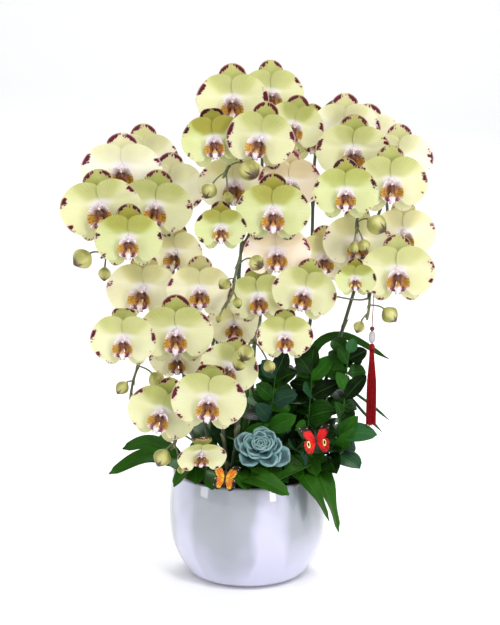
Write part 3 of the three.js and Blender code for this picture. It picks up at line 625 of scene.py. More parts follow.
def petal_material(name, white, low, middle, high, wine):
    """Fresh petal: waxy cells that glow a little, with wine blotches that follow the veins."""
    material, tree = blank_material(name)
    coords = add_node(tree, "TexCoord").outputs
    spot = add_node(tree, "SeparateXYZ", {"Vector": coords["UV"]}).outputs
    paint = add_node(tree, "Attribute", attribute_name="paint").outputs
    mask = add_node(tree, "SeparateColor", {"Color": paint["Color"]}).outputs
    margin, green, heart = mask["Red"], mask["Green"], mask["Blue"]
    seed = add_node(tree, "Math", {0: paint["Alpha"], 1: 60.0}, operation="MULTIPLY")

    # Flecks about 3 mm apart and twice as long as wide, which run together into blots where the margin is
    # dense.
    fleck_turn = add_node(tree, "Math", {0: spot["X"], 1: 40.0}, operation="MULTIPLY")
    fleck_reach = add_node(tree, "Math", {0: spot["Y"], 1: 9.0}, operation="MULTIPLY")
    fleck_at = add_node(tree, "CombineXYZ", {"X": fleck_turn, "Y": fleck_reach, "Z": seed})
    warp = add_node(tree, "TexNoise", {"Vector": coords["Object"], "Scale": 260.0, "Detail": 1.0})
    warped = add_node(tree, "VectorMath", {0: warp.outputs["Color"], 1: (1.1, 0.9, 0.0), 2: fleck_at},
                      operation="MULTIPLY_ADD")
    flecks = add_node(tree, "TexVoronoi", {"Vector": warped, "Scale": 1.0})
    chance = add_node(tree, "SeparateColor", {"Color": flecks.outputs["Color"]})
    level = add_node(tree, "Math", {0: chance, 1: 0.36, 2: margin}, operation="MULTIPLY_ADD")
    level = add_node(tree, "Math", {0: flecks, 1: -0.55, 2: level}, operation="MULTIPLY_ADD")
    blotch = add_node(tree, "MapRange", {"Value": level, "From Min": 0.50, "From Max": 0.60})
    halo = add_node(tree, "MapRange", {"Value": level, "From Min": 0.28, "From Max": 0.6, "To Max": 0.42})
    rim = add_node(tree, "MapRange", {"Value": spot["Y"], "From Min": 0.96, "From Max": 0.99, "To Min": 1.0,
                                      "To Max": 0.25})
    stain = add_node(tree, "Math", {0: blotch, 1: rim}, operation="MULTIPLY")

    # Veins about 4 mm apart at the rim.
    vein_turn = add_node(tree, "Math", {0: spot["X"], 1: 27.0}, operation="MULTIPLY")
    vein_reach = add_node(tree, "Math", {0: spot["Y"], 1: 3.0}, operation="MULTIPLY")
    vein_at = add_node(tree, "CombineXYZ", {"X": vein_turn, "Y": vein_reach, "Z": seed})
    veins = add_node(tree, "TexWave", {"Vector": vein_at, "Scale": 0.28, "Distortion": 2.0, "Detail": 2.0,
                                       "Detail Scale": 0.6}, bands_direction="X").outputs["Fac"]
    clouds = add_node(tree, "TexNoise", {"Vector": coords["Object"], "Scale": 42.0, "Detail": 3.0})
    # The green mask holds the petals' own green together with the shade painted on their upper halves.
    shade = add_node(tree, "Math", {0: veins, 1: 0.04, 2: green}, operation="MULTIPLY_ADD")
    shade = add_node(tree, "Math", {0: clouds, 1: 0.30, 2: shade}, operation="MULTIPLY_ADD")
    ground = add_node(tree, "ValToRGB", {"Fac": shade}, ((0.2, white), (0.42, low), (0.78, middle),
                                                         (1.0, high)))
    bright = add_node(tree, "Mix", {0: heart, MIX_A: ground, MIX_B: "#fbf8fd"}, data_type="RGBA")
    blush = add_node(tree, "Mix", {0: halo, MIX_A: bright, MIX_B: "#e6b4c0"}, data_type="RGBA")
    skin = add_node(tree, "Mix", {0: stain, MIX_A: blush, MIX_B: wine}, data_type="RGBA")
    relief = add_node(tree, "Bump", {"Height": veins, "Strength": 0.07, "Distance": 0.0004})
    wax = add_node(tree, "BsdfPrincipled", {"Base Color": skin, "Normal": relief, "Roughness": 0.48,
                                            "IOR": 1.4})
    glow = add_node(tree, "BsdfTranslucent", {"Color": skin})
    petal = add_node(tree, "MixShader", {0: 0.38, 1: wax, 2: glow})
    add_node(tree, "OutputMaterial", {"Surface": petal})
    return material


def lip_material():
    """The lip and column: thick glossy tissue, golden below and white above, striped and masked with wine."""
    material, tree = blank_material("lip")
    coords = add_node(tree, "TexCoord").outputs
    paint = add_node(tree, "Attribute", attribute_name="paint")
    mask = add_node(tree, "SeparateColor", {"Color": paint}).outputs
    wine, gold, white = mask["Red"], mask["Green"], mask["Blue"]
    # Stripes about 1 mm apart along the lobes, broken by freckles of half a millimetre.
    stripes = add_node(tree, "TexWave", {"Vector": coords["UV"], "Scale": 3.9, "Distortion": 5.0,
                                         "Detail": 2.0},
                       bands_direction="X").outputs["Fac"]
    freckles = add_node(tree, "TexNoise", {"Vector": coords["Object"], "Scale": 380.0, "Detail": 3.0})
    base = add_node(tree, "Mix", {0: gold, MIX_A: "#d2b090", MIX_B: "#cda23c"}, data_type="RGBA")
    pale = add_node(tree, "Mix", {0: white, MIX_A: base, MIX_B: "#efe1ea"}, data_type="RGBA")
    level = add_node(tree, "Math", {0: stripes, 1: 0.24, 2: wine}, operation="MULTIPLY_ADD")
    level = add_node(tree, "Math", {0: freckles, 1: 0.62, 2: level}, operation="MULTIPLY_ADD")
    stain = add_node(tree, "MapRange", {"Value": level, "From Min": 0.60, "From Max": 0.94})
    brown = add_node(tree, "ValToRGB", {"Fac": gold}, ((0.0, "#4a200e"), (1.0, "#8a4a12")))
    deep = add_node(tree, "Mix", {0: white, MIX_A: brown, MIX_B: "#86385a"}, data_type="RGBA")
    skin = add_node(tree, "Mix", {0: stain, MIX_A: pale, MIX_B: deep}, data_type="RGBA")
    tissue = add_node(tree, "BsdfPrincipled", {"Base Color": skin, "Roughness": 0.34})
    add_node(tree, "OutputMaterial", {"Surface": tissue})
    return material


def stem_material():
    """Flower stalk: smooth living bark, dark green low down and brown-grey where it carries the blooms."""
    material, tree = blank_material("stalk")
    coords = add_node(tree, "TexCoord").outputs
    paint = add_node(tree, "Attribute", attribute_name="paint")
    mask = add_node(tree, "SeparateColor", {"Color": paint}).outputs
    flecks = add_node(tree, "TexNoise", {"Vector": coords["Object"], "Scale": 160.0, "Detail": 4.0})
    level = add_node(tree, "Math", {0: flecks, 1: 0.45, 2: mask["Red"]}, operation="MULTIPLY_ADD")
    ground = add_node(tree, "ValToRGB", {"Fac": level},
                      ((0.1, "#1c2c16"), (0.45, "#34402a"), (0.75, "#565438"), (1.0, "#8f9858")))
    skin = add_node(tree, "Mix", {0: mask["Green"], MIX_A: ground, MIX_B: "#b4bd78"}, data_type="RGBA")
    relief = add_node(tree, "Bump", {"Height": flecks, "Strength": 0.2, "Distance": 0.0004})
    rind = add_node(tree, "BsdfPrincipled", {"Base Color": skin, "Normal": relief, "Roughness": 0.42})
    add_node(tree, "OutputMaterial", {"Surface": rind})
    return material


def bud_material():
    """Closed sepals: olive and waxy, browner at the tip and along the three seams."""
    material, tree = blank_material("bud")
    coords = add_node(tree, "TexCoord").outputs
    paint = add_node(tree, "Attribute", attribute_name="paint")
    mask = add_node(tree, "SeparateColor", {"Color": paint}).outputs
    mottle = add_node(tree, "TexNoise", {"Vector": coords["Object"], "Scale": 120.0, "Detail": 4.0})
    level = add_node(tree, "Math", {0: mottle, 1: 0.5, 2: mask["Green"]}, operation="MULTIPLY_ADD")
    ground = add_node(tree, "ValToRGB", {"Fac": level}, ((0.2, "#cfcb92"), (0.6, "#aeaa62"),
                                                         (1.0, "#807f36")))
    dark = add_node(tree, "Math", {0: mottle, 1: 0.6, 2: mask["Red"]}, operation="MULTIPLY_ADD")
    stain = add_node(tree, "MapRange", {"Value": dark, "From Min": 0.56, "From Max": 1.0})
    skin = add_node(tree, "Mix", {0: stain, MIX_A: ground, MIX_B: "#4a3420"}, data_type="RGBA")
    relief = add_node(tree, "Bump", {"Height": mottle, "Strength": 0.15, "Distance": 0.0005})
    wax = add_node(tree, "BsdfPrincipled", {"Base Color": skin, "Normal": relief, "Roughness": 0.4})
    add_node(tree, "OutputMaterial", {"Surface": wax})
    return material


def leaf_material(name, dark, bright, blue, roughness, vein_scale, vein_depth):
    """A leathery leaf with a waxed face: its midrib and veins follow its own length."""
    material, tree = blank_material(name)
    coords = add_node(tree, "TexCoord").outputs
    spot = add_node(tree, "SeparateXYZ", {"Vector": coords["UV"]}).outputs
    paint = add_node(tree, "Attribute", attribute_name="paint")
    mask = add_node(tree, "SeparateColor", {"Color": paint}).outputs
    patches = add_node(tree, "TexNoise", {"Vector": coords["Object"], "Scale": 55.0, "Detail": 4.0})
    veins = add_node(tree, "TexWave", {"Vector": coords["UV"], "Scale": vein_scale, "Distortion": 1.2,
                                       "Detail": 1.0}, bands_direction="X").outputs["Fac"]
    off = add_node(tree, "Math", {0: spot["X"], 1: 0.5}, operation="SUBTRACT")
    off = add_node(tree, "Math", {0: off}, operation="ABSOLUTE")
    rib = add_node(tree, "MapRange", {"Value": off, "From Min": 0.012, "From Max": 0.045, "To Min": 0.22,
                                      "To Max": 0.0})
    level = add_node(tree, "Math", {0: patches, 1: 0.7, 2: mask["Red"]}, operation="MULTIPLY_ADD")
    level = add_node(tree, "Math", {0: veins, 1: 0.10, 2: level}, operation="MULTIPLY_ADD")
    ground = add_node(tree, "ValToRGB", {"Fac": level}, ((0.2, dark), (0.95, bright)))
    bluish = add_node(tree, "Mix", {0: mask["Green"], MIX_A: ground, MIX_B: blue}, data_type="RGBA")
    skin = add_node(tree, "Mix", {0: rib, MIX_A: bluish, MIX_B: "#4f7c36"}, data_type="RGBA")
    relief = add_node(tree, "Bump", {"Height": veins, "Strength": 0.35, "Distance": vein_depth})
    wax = add_node(tree, "BsdfPrincipled", {"Base Color": skin, "Normal": relief, "Roughness": roughness,
                                            "Specular IOR Level": 0.08})
    add_node(tree, "OutputMaterial", {"Surface": wax})
    return material


def succulent_material():
    """Echeveria leaf: fleshy blue-green under a dull wax bloom, paler at the rim and the point."""
    material, tree = blank_material("succulent")
    coords = add_node(tree, "TexCoord").outputs
    spot = add_node(tree, "SeparateXYZ", {"Vector": coords["UV"]}).outputs
    powder = add_node(tree, "TexNoise", {"Vector": coords["Object"], "Scale": 130.0, "Detail": 5.0})
    off = add_node(tree, "Math", {0: spot["X"], 1: 0.5}, operation="SUBTRACT")
    off = add_node(tree, "Math", {0: off}, operation="ABSOLUTE")
    level = add_node(tree, "Math", {0: powder, 1: 0.25, 2: off}, operation="MULTIPLY_ADD")
    ground = add_node(tree, "ValToRGB", {"Fac": level}, ((0.1, "#243f46"), (0.45, "#42686e"),
                                                         (0.62, "#7da2a2")))
    point = add_node(tree, "MapRange", {"Value": spot["Y"], "From Min": 0.93, "From Max": 1.0})
    skin = add_node(tree, "Mix", {0: point, MIX_A: ground, MIX_B: "#9fb9b4"}, data_type="RGBA")
    flesh = add_node(tree, "BsdfPrincipled", {"Base Color": skin, "Roughness": 0.6})
    add_node(tree, "OutputMaterial", {"Surface": flesh})
    return material


# How many bands of painted reflection go round the pot, and where the first lies as a share of a turn.
REFLECTION_BANDS = 5
FIRST_REFLECTION_BAND = 0.33


def glaze_material(settings):
    """Stoneware under a white gloss glaze: an even shine, a faint orange-peel ripple, soft pale bands of
    painted reflection and painted light over the foot.
    """
    material, tree = blank_material("glaze")
    place = add_node(tree, "TexCoord").outputs["Object"]
    cloud = add_node(tree, "TexNoise", {"Vector": place, "Scale": 9.0, "Detail": 2.0})
    # Painted light: the glaze is paler over the lowest 90 mm, to lift the shade there.
    height = add_node(tree, "SeparateXYZ", {"Vector": place}).outputs["Z"]
    painted_foot_light = add_node(tree, "MapRange", {"Value": height, "From Min": 0.015, "From Max": 0.09, "To Min": 0.42,
                                         "To Max": 0.0})
    depth = add_node(tree, "Math", {0: cloud, 1: painted_foot_light}, operation="ADD")
    # Painted reflection: five broad soft pale bands round the pot, about 140 mm apart, standing for soft
    # boxes seen in the gloss.
    turn = add_node(tree, "TexGradient", {"Vector": place}, gradient_type="RADIAL").outputs["Fac"]
    drift = add_node(tree, "Math", {0: cloud, 1: 0.06, 2: turn}, operation="MULTIPLY_ADD")
    full_turn = REFLECTION_BANDS * 2 * math.pi
    phase = add_node(tree, "Math", {0: drift, 1: full_turn, 2: -FIRST_REFLECTION_BAND * full_turn},
                     operation="MULTIPLY_ADD")
    wave = add_node(tree, "Math", {0: phase}, operation="COSINE")
    painted_reflection = add_node(tree, "MapRange", {"Value": wave, "From Min": 0.1, "From Max": 1.0, "To Max": 0.4},
                   interpolation_type="SMOOTHSTEP")
    # depth now holds the glaze's clouding with the painted light over the foot and the painted reflection
    # bands, whose colour is the pale lavender stop.
    depth = add_node(tree, "Math", {0: depth, 1: painted_reflection}, operation="ADD")
    ground = add_node(tree, "ValToRGB", {"Fac": depth}, ((0.3, "#8b9096"), (0.6, settings.glaze),
                                                         (1.0, "#c6c5de")))
    ripple = add_node(tree, "TexNoise", {"Vector": place, "Scale": 60.0, "Detail": 1.0})
    relief = add_node(tree, "Bump", {"Height": ripple, "Strength": 0.05, "Distance": 0.001})
    gloss = add_node(tree, "BsdfPrincipled", {"Base Color": ground, "Normal": relief, "Roughness": 0.3,
                                              "IOR": 1.5, "Coat Weight": 1.0, "Coat Roughness": 0.04,
                                              "Coat IOR": 1.6})
    add_node(tree, "OutputMaterial", {"Surface": gloss})
    return material


def bark_material():
    """Orchid bark: dry, ridged chips from grey-brown to red-brown."""
    material, tree = blank_material("bark")
    coords = add_node(tree, "TexCoord").outputs
    paint = add_node(tree, "Attribute", attribute_name="paint")
    tone = add_node(tree, "SeparateColor", {"Color": paint}).outputs["Red"]
    grain = add_node(tree, "TexNoise", {"Vector": coords["Object"], "Scale": 210.0, "Detail": 6.0,
                                        "Roughness": 0.65})
    level = add_node(tree, "Math", {0: grain, 1: 0.6, 2: tone}, operation="MULTIPLY_ADD")
    ground = add_node(tree, "ValToRGB", {"Fac": level}, ((0.15, "#1e1610"), (0.6, "#4a3524"),
                                                         (1.0, "#7d6046")))
    relief = add_node(tree, "Bump", {"Height": grain, "Strength": 0.7, "Distance": 0.001})
    chip = add_node(tree, "BsdfPrincipled", {"Base Color": ground, "Normal": relief, "Roughness": 0.92})
    add_node(tree, "OutputMaterial", {"Surface": chip})
    return material


def wing_material(name, field, spot, eye, eye_at):
    """Printed film wing: dark veins, a dark border with pale flecks and one pale round mark."""
    material, tree = blank_material(name)
    uv = add_node(tree, "TexCoord").outputs["UV"]
    place = add_node(tree, "SeparateXYZ", {"Vector": uv}).outputs
    paint = add_node(tree, "Attribute", attribute_name="paint")
    mask = add_node(tree, "SeparateColor", {"Color": paint}).outputs
    # Nine veins that fan out from the root.
    fan = add_node(tree, "Math", {0: place["X"], 1: 9.0}, operation="MULTIPLY")
    fan = add_node(tree, "Math", {0: fan}, operation="FRACT")
    fan = add_node(tree, "Math", {0: fan, 1: 0.5}, operation="SUBTRACT")
    fan = add_node(tree, "Math", {0: fan}, operation="ABSOLUTE")
    vein = add_node(tree, "MapRange", {"Value": fan, "From Min": 0.40, "From Max": 0.46})
    flecks = add_node(tree, "TexVoronoi", {"Vector": uv, "Scale": 9.0})
    fleck = add_node(tree, "MapRange", {"Value": flecks, "From Min": 0.16, "From Max": 0.24, "To Min": 1.0,
                                        "To Max": 0.0})
    printed = add_node(tree, "ValToRGB", {"Fac": place["Y"]},
                       ((0.1, spot), (0.4, field), (0.62, field), (0.8, spot)))
    veined = add_node(tree, "Mix", {0: vein, MIX_A: printed, MIX_B: "#1c0c08"}, data_type="RGBA")
    border = add_node(tree, "Mix", {0: fleck, MIX_A: "#160a08", MIX_B: "#f0dcd0"}, data_type="RGBA")
    edged = add_node(tree, "Mix", {0: mask["Red"], MIX_A: veined, MIX_B: border}, data_type="RGBA")
    gap = add_node(tree, "VectorMath", {0: uv, 1: (*eye_at, 0.0)}, operation="SUBTRACT")
    gap = add_node(tree, "VectorMath", {0: gap}, operation="LENGTH")
    ring = add_node(tree, "ValToRGB", {"Fac": gap},
                    ((0.0, "#181010"), (0.07, "#181010"), (0.08, eye), (0.13, eye), (0.14, "#181010")))
    near = add_node(tree, "MapRange", {"Value": gap, "From Min": 0.15, "From Max": 0.165, "To Min": 1.0,
                                       "To Max": 0.0})
    near = add_node(tree, "Math", {0: near, 1: mask["Green"]}, operation="MULTIPLY")
    skin = add_node(tree, "Mix", {0: near, MIX_A: edged, MIX_B: ring}, data_type="RGBA")
    film = add_node(tree, "BsdfPrincipled", {"Base Color": skin, "Roughness": 0.4, "Specular IOR Level": 0.2})
    add_node(tree, "OutputMaterial", {"Surface": film})
    return material


def plain_material(name, dark, bright, scale, roughness, specular=0.5):
    """A finish of one hue that clouds between two shades, at a grain of 1 m / scale."""
    material, tree = blank_material(name)
    coords = add_node(tree, "TexCoord").outputs
    cloud = add_node(tree, "TexNoise", {"Vector": coords["Object"], "Scale": scale, "Detail": 3.0})
    ground = add_node(tree, "ValToRGB", {"Fac": cloud}, ((0.3, dark), (0.7, bright)))
    relief = add_node(tree, "Bump", {"Height": cloud, "Strength": 0.2, "Distance": 0.0003})
    surface = add_node(tree, "BsdfPrincipled", {"Base Color": ground, "Normal": relief,
                                                "Roughness": roughness, "Specular IOR Level": specular})
    add_node(tree, "OutputMaterial", {"Surface": surface})
    return material


def mirrored(outline):
    """The outline of (x, z) points on the other side."""
    return [(-x, z) for x, z in outline]


def whole(half, tip):
    """A symmetric outline from one half and its tip."""
    return [*half, tip, *mirrored(reversed(half))]


# The bloom, for a width of 1: x to the right, z up, y away from the viewer, round the hub where its parts
# meet.
HUB_RADIUS = 0.05
HUB_TURNS = (50, 130, 212, 270, 328)
NECK_REACH = 0.075
NECK_RADIUS = 0.024
PETAL = ((-0.012, 0.09), (-0.012, 0.23), (0.02, 0.292), (0.1, 0.334), (0.21, 0.338), (0.33, 0.285),
         (0.44, 0.165), (0.498, 0.01), (0.468, -0.145), (0.365, -0.28), (0.21, -0.325), (0.09, -0.2))
DORSAL = whole(((0.055, 0.09), (0.16, 0.24), (0.192, 0.335), (0.16, 0.42), (0.085, 0.482)), (0, 0.502))
LATERAL = ((0.014, -0.15), (0.05, -0.3), (0.13, -0.39), (0.24, -0.405), (0.31, -0.33), (0.29, -0.2),
           (0.07, -0.06))
SIDE_LOBE = ((0.004, -0.03), (0.04, 0.006), (0.09, -0.002), (0.124, -0.05), (0.15, -0.13), (0.148, -0.2),
             (0.112, -0.258), (0.06, -0.262), (0.026, -0.22))
SIDE_ROOT = (0.012, -0.122)
MID_LOBE = whole(((-0.014, -0.13), (-0.022, -0.18), (-0.05, -0.225), (-0.078, -0.262), (-0.04, -0.275),
                  (-0.038, -0.296)), (0, -0.306))
TAIL = ((0.014, -0.118, -0.296), (0.028, -0.126, -0.307), (0.04, -0.136, -0.294), (0.034, -0.134, -0.28))

# A curled dorsal sepal rolls forward from this height.
ROLL_FROM = 0.39

# Each hue's slot in the record, how green its blooms are, which also scales the shade painted on their
# petals, and how much wine is on them.
HUES = {
    "yellow": ("petal", 0.85, 1.0),
    "pale": ("pale_petal", 0.75, 0.85),
    "peach": ("pale_petal", 0.7, 0.8),
    "ivory": ("pale_petal", 0.75, 0.9),
    "green": ("green_petal", 1.0, 1.0),
}

# A bloom wider than this many mm is no taller for it.
BROAD = 96.0


def rounded(outline, count=48):
    """An outline of (x, z) points rounded to a smooth line."""
    return Route(spline([Vector((x, z)) for x, z in outline], 10)).even(count)


def edge_place(edge, share):
    """The place on a rounded outline at a share of its length."""
    i = min(int(share * (len(edge) - 1)), len(edge) - 2)
    return edge[i].lerp(edge[i + 1], share * (len(edge) - 1) - i)


def hub_corner(index):
    """One of the corners of the hub, where a petal or a sepal begins."""
    turn = math.radians(HUB_TURNS[index])
    return Vector((HUB_RADIUS * math.cos(turn), HUB_RADIUS * math.sin(turn)))


def petal_back(x, z, cup):
    """How far back a petal lies, which comes forward round its rim as the bloom cups."""
    return -0.015 - cup * (0.25 * x * x + 0.5 * (z - 0.02) ** 2)


def sepal_back(x, z, cup):
    """How far back a sepal lies, flat on an open bloom."""
    return 0.036 - (cup - 1) * 0.2 * (x * x + z * z)


def add_tepal(bm, kind, corners, outline, bloom, draw, columns, rows):
    """One petal or sepal: rays from the hub's side to the outline, bowed, creased and waved."""
    edge = rounded(outline)
    low, high = hub_corner(corners[0]), hub_corner(corners[1])
    if kind == "petal":
        low.x *= 0.1
    cup, green, spots = bloom["cup"], bloom["green"], bloom["spots"]
    phase, wave = draw.uniform(0, 6.3), draw.uniform(0.5, 1.3) * bloom["wave"]
    seed = draw.random()
    cluster, width = draw.uniform(2, 26), draw.uniform(8, 14)
    second, faint = draw.uniform(-48, -16), draw.uniform(0.3, 0.7)
    curl = bloom["curl"] if kind == "dorsal" else 0.0
    spin = 1 if edge[0].cross(edge[-1]) > 0 else -1
    # The petals cross at their inner corners, and the right one lies in front.
    lead = -0.010 if outline[3][0] > 0 else 0.006

    def flat(s, r):
        out = edge_place(edge, s)
        base = low.lerp(high, s)
        ray = (out - base).normalized()
        swell = (0.12 if kind == "petal" else 0.08) * r * (1 - r) * (2 * s - 1) ** 2
        if kind == "petal" and abs(out.x) < 0.08:
            swell = 0
        spot = base.lerp(out, r) + Vector((-ray.y, ray.x)) * (swell * spin * (2 * s - 1))
        spot.y *= bloom["squat"] if spot.y > 0 else 1.0
        return spot

    def place(s, r):
        x, z = flat(s, r)
        if kind == "petal":
            y = petal_back(x, z, cup) + lead * smooth(0.03, 0.12, z) * smooth(0.3, 0.0, abs(x))
            y += 0.012 * bump(0.02 + 0.1 * abs(x), 0.035, z) * smooth(0.15, 0.5, r)
            y += 0.011 * wave * r ** 3 * math.sin(14.0 * s + phase)
        else:
            y = sepal_back(x, z, cup) - 0.012 * r * r
            y += 0.010 * bump(0.5, 0.10, s) * smooth(0.05, 0.4, r)
            y += 0.006 * wave * r ** 3 * math.sin(11.0 * s + phase)
        if curl and z > ROLL_FROM:
            turn = (z - ROLL_FROM) / curl
            y -= curl * (1 - math.cos(turn))
            z = ROLL_FROM + curl * math.sin(turn)
        return Vector((x, y, z))

    def paint(s, r):
        x, z = flat(s, r)
        turn = math.degrees(math.atan2(z, abs(x)))
        if kind == "petal":
            sector = 0.22 + 0.8 * bump(cluster, width, turn) + faint * bump(second, 7, turn)
            margin = sector * smooth(0.72, 0.95, r)
            # The green dome over the petals' upper middle is partly their own green and partly painted shade
            # of the dorsal sepal. The upper halves, which face downwards, get more green as painted shade.
            dome_tint_and_shade = smooth(1.13, 0.85, math.hypot(x / bloom["reach"], (z - 0.31) / 0.28))
            painted_upper_shade = smooth(0.04, 0.20, z - 0.3 * x * x)
            tint = green * (0.18 + bloom["dome_tint_and_shade"] * dome_tint_and_shade + 0.18 * painted_upper_shade)
            heart = 0.9 * smooth(1.5, 0.3, math.hypot(x / 0.14, (z - 0.02) / 0.06))
        elif kind == "dorsal":
            margin = (0.2 + bloom["crest"] * bump(0.12, 0.11, abs(s - 0.5))) * smooth(0.76, 0.92, r)
            tint, heart = green * (0.42 + bloom["dome_tint_and_shade"]) + 0.08, 0.0
        else:
            margin = (0.12 + bloom["foot"] * bump(0.42, 0.16, s)) * smooth(0.80, 0.95, r)
            tint, heart = green * 0.24, 0.1
        return (spots * margin, tint, heart, seed)

    blade(bm, columns, rows, place, 0.010 if kind == "petal" else 0.012, paint, weld=BLOOM_WELD)


def add_lip(bm, bloom, draw):
    """The lip: two cupped lobes striped to a dark throat, and a pale mid-lobe with two short tails."""
    aside = bloom["lip"]
    shift = aside * 0.6
    seed = draw.random()
    root = Vector(SIDE_ROOT)
    lobe = rounded(SIDE_LOBE, 40)
    mid_lobe = rounded(MID_LOBE, 64)

    for side in (1, -1):

        def place(s, r):
            x, z = root.lerp(edge_place(lobe, s), r)
            y = -0.082 + 0.026 * math.sin(math.pi * r) - 0.045 * smooth(0.55, 1.0, r) - 0.1 * x
            return Vector((side * x + aside * r, y, z))

        def paint(s, r):
            spot = place(s, r)
            x, z = abs(spot.x - aside * r), spot.z
            foot = smooth(-0.195, -0.24, z)
            white = 0.95 * smooth(-0.105, -0.05, z) * smooth(0.45, 0.8, r) + 0.7 * foot
            gold = smooth(-0.06, -0.12, z) * smooth(0.02, 0.06, x) * (1 - foot)
            throat = smooth(1.0, 0.3, math.hypot(x / 0.085, (z + 0.115) / 0.09))
            corner = smooth(-0.19, -0.25, z) * smooth(0.12, 0.07, x)
            flush = smooth(0.13, 0.05, x) * smooth(-0.02, -0.08, z)
            wine = 0.22 + 0.06 * gold + 0.55 * throat + 0.42 * corner + 0.14 * flush - 0.08 * white
            return (wine, gold, white, seed)

        blade(bm, 26, 12, place, 0.010, paint, 1, BLOOM_WELD)

    def middle(s, r):
        out = edge_place(mid_lobe, s)
        base = Vector((-0.012 + 0.024 * s, -0.13))
        spine = Vector((0.35 * out.x * (1 - r), out.y))
        x, z = base.lerp(spine.lerp(out, r), r)
        depth = -0.112 - 0.03 * smooth(-0.15, -0.23, z) + 0.03 * smooth(-0.26, -0.33, z)
        return Vector((x + shift, depth + 1.5 * x * x - 0.010 * bump(0, 0.014, x), z))

    def middle_paint(s, r):
        spot = middle(s, r)
        x, z = abs(spot.x - shift), spot.z
        corner = smooth(0.024, 0.05, x) * smooth(-0.21, -0.25, z)
        gold = smooth(-0.235, -0.19, z)
        wine = 0.16 + 0.5 * corner + 0.16 * gold + 0.3 * smooth(-0.18, -0.145, z)
        return (wine, gold, smooth(0.06, 0.02, x) * (1 - gold), seed)

    blade(bm, 32, 10, middle, 0.012, middle_paint, 1, BLOOM_WELD)

    for side in (1, -1):
        tail = spline([Vector((side * x + shift, y, z)) for x, y, z in TAIL], 3)
        tube(bm, tail, lambda w: 0.0055 * (1 - 0.8 * w), (0.5, 0.0, 0.3, seed), 5, 1)

    def callus(s, r):
        turn, lean = 2 * math.pi * s, math.pi * r
        ridge = 1 + 0.25 * math.cos(2 * turn)
        return Vector((aside * 0.3 + 0.034 * math.sin(lean) * math.cos(turn) * ridge,
                       -0.112 - 0.022 * math.sin(lean) * math.sin(turn), -0.102 + 0.042 * math.cos(lean)))

    shell(bm, 10, 6, callus, lambda s, r: (0.9 - 0.35 * r, 0.5 * r, 0.0, seed), 1, BLOOM_WELD)


def add_column(bm, draw):
    """The column: a hooded white post that leans over the lip, with its anther cap."""
    seed = draw.random()

    def post(s, r):
        turn, lean = 2 * math.pi * s, math.pi * r
        swell = math.sin(lean) * (0.034 - 0.006 * math.cos(lean))
        reach = 0.052 * math.cos(lean)
        drop = 0.42 * (reach + 0.05)
        return Vector((swell * math.cos(turn), -0.056 - reach, 0.012 + swell * 1.15 * math.sin(turn) - drop))

    def paint(s, r):
        return (0.18 * smooth(0.5, 0.95, 1 - r) + 0.20, 0.0, 1.0, seed)

    shell(bm, 14, 9, post, paint, 1, BLOOM_WELD)

    def cap(s, r):
        turn, lean = 2 * math.pi * s, math.pi * r
        return Vector((0.018 * math.sin(lean) * math.cos(turn), -0.108 - 0.016 * math.cos(lean),
                       -0.038 + 0.02 * math.sin(lean) * math.sin(turn)))

    shell(bm, 10, 6, cap, (0.12, 0.05, 0.9, seed), 1, BLOOM_WELD)


def facing(bloom):
    """The matrix that puts a bloom of width 1 in its place."""
    matrix = Matrix.Translation(seen(bloom["at"]))
    for name, axis in (("yaw", "Z"), ("tilt", "X"), ("roll", "Y")):
        matrix = matrix @ Matrix.Rotation(math.radians(bloom.get(name, 0)), 4, axis)
    return matrix @ Matrix.Scale(bloom["width"], 4)


def make_bloom(key, bloom, settings, materials):
    """One bloom: dorsal sepal, two lateral sepals, two petals, lip, column and the neck behind them."""
    draw = random.Random(f"bloom {key}")
    hue = bloom.get("hue", "yellow")
    slot, green, spots = HUES[hue]
    facts = {
        "cup": bloom.get("cup", 1),
        "curl": bloom.get("curl", 0.0),
        "lip": bloom.get("lip", 0.0),
        "wave": settings.wave,
        "squat": min(1.0, BROAD / bloom["width"]),
        "green": green * draw.uniform(0.85, 1.15),
        "spots": spots * draw.uniform(0.9, 1.15) * settings.blotches,
        "dome_tint_and_shade": draw.uniform(0.3, 0.52),
        "reach": draw.uniform(0.27, 0.44),
        "crest": draw.uniform(0.65, 1.15),
        "foot": draw.uniform(0.2, 0.75),
    }
    bm = new_mesh()
    add_tepal(bm, "dorsal", (0, 1), DORSAL, facts, draw, 18, 14)
    add_tepal(bm, "lateral", (3, 4), LATERAL, facts, draw, 16, 14)
    add_tepal(bm, "lateral", (3, 2), mirrored(LATERAL), facts, draw, 16, 14)
    add_tepal(bm, "petal", (0, 4), PETAL, facts, draw, 30, 16)
    add_tepal(bm, "petal", (1, 2), mirrored(PETAL), facts, draw, 30, 16)
    add_lip(bm, facts, draw)
    add_column(bm, draw)
    neck = [Vector((0, y, 0)) for y in (0.0, 0.03, 0.055, NECK_REACH)]
    tube(bm, neck, lambda w: mix(0.036, NECK_RADIUS, w), (0.6, 0.8, 0, 0), 10, 2)
    finishes = [materials[hue], materials["lip"], materials["stem"]]
    finish_piece(bm, f"flower_{key}", finishes, f"bloom_{key}", slot, facing(bloom))


SPIKE_RADIUS = 2.7
PEDICEL_RADIUS = 1.6

# The bare nodes of a spike, and where its blooms begin, as shares of its length.
BARE_NODES = (0.06, 0.15, 0.25, 0.36, 0.47)
BLOOMS_FROM = 0.4


def spikes(plant):
    """A plant's flower spikes: its first, and its second if it has one."""
    return [plant, plant["second"]] if "second" in plant else [plant]


def spike_route(foot, way):
    """The line of a stalk or a root: from its foot through its places."""
    return Route(spline([Vector((*foot, EDGE)), *map(seen, way)], 16))


def attach(route, target, lead=10):
    """Where a pedicel leaves the spike: a little before the nearest place, by the lead in mm."""
    samples = 240
    shares = [i / samples for i in range(round(samples * BLOOMS_FROM), samples + 1)]
    nearest = min(shares, key=lambda share: (route.at(share) - target).length)
    return min(max(nearest - lead / route.length, 0.0), 1.0)


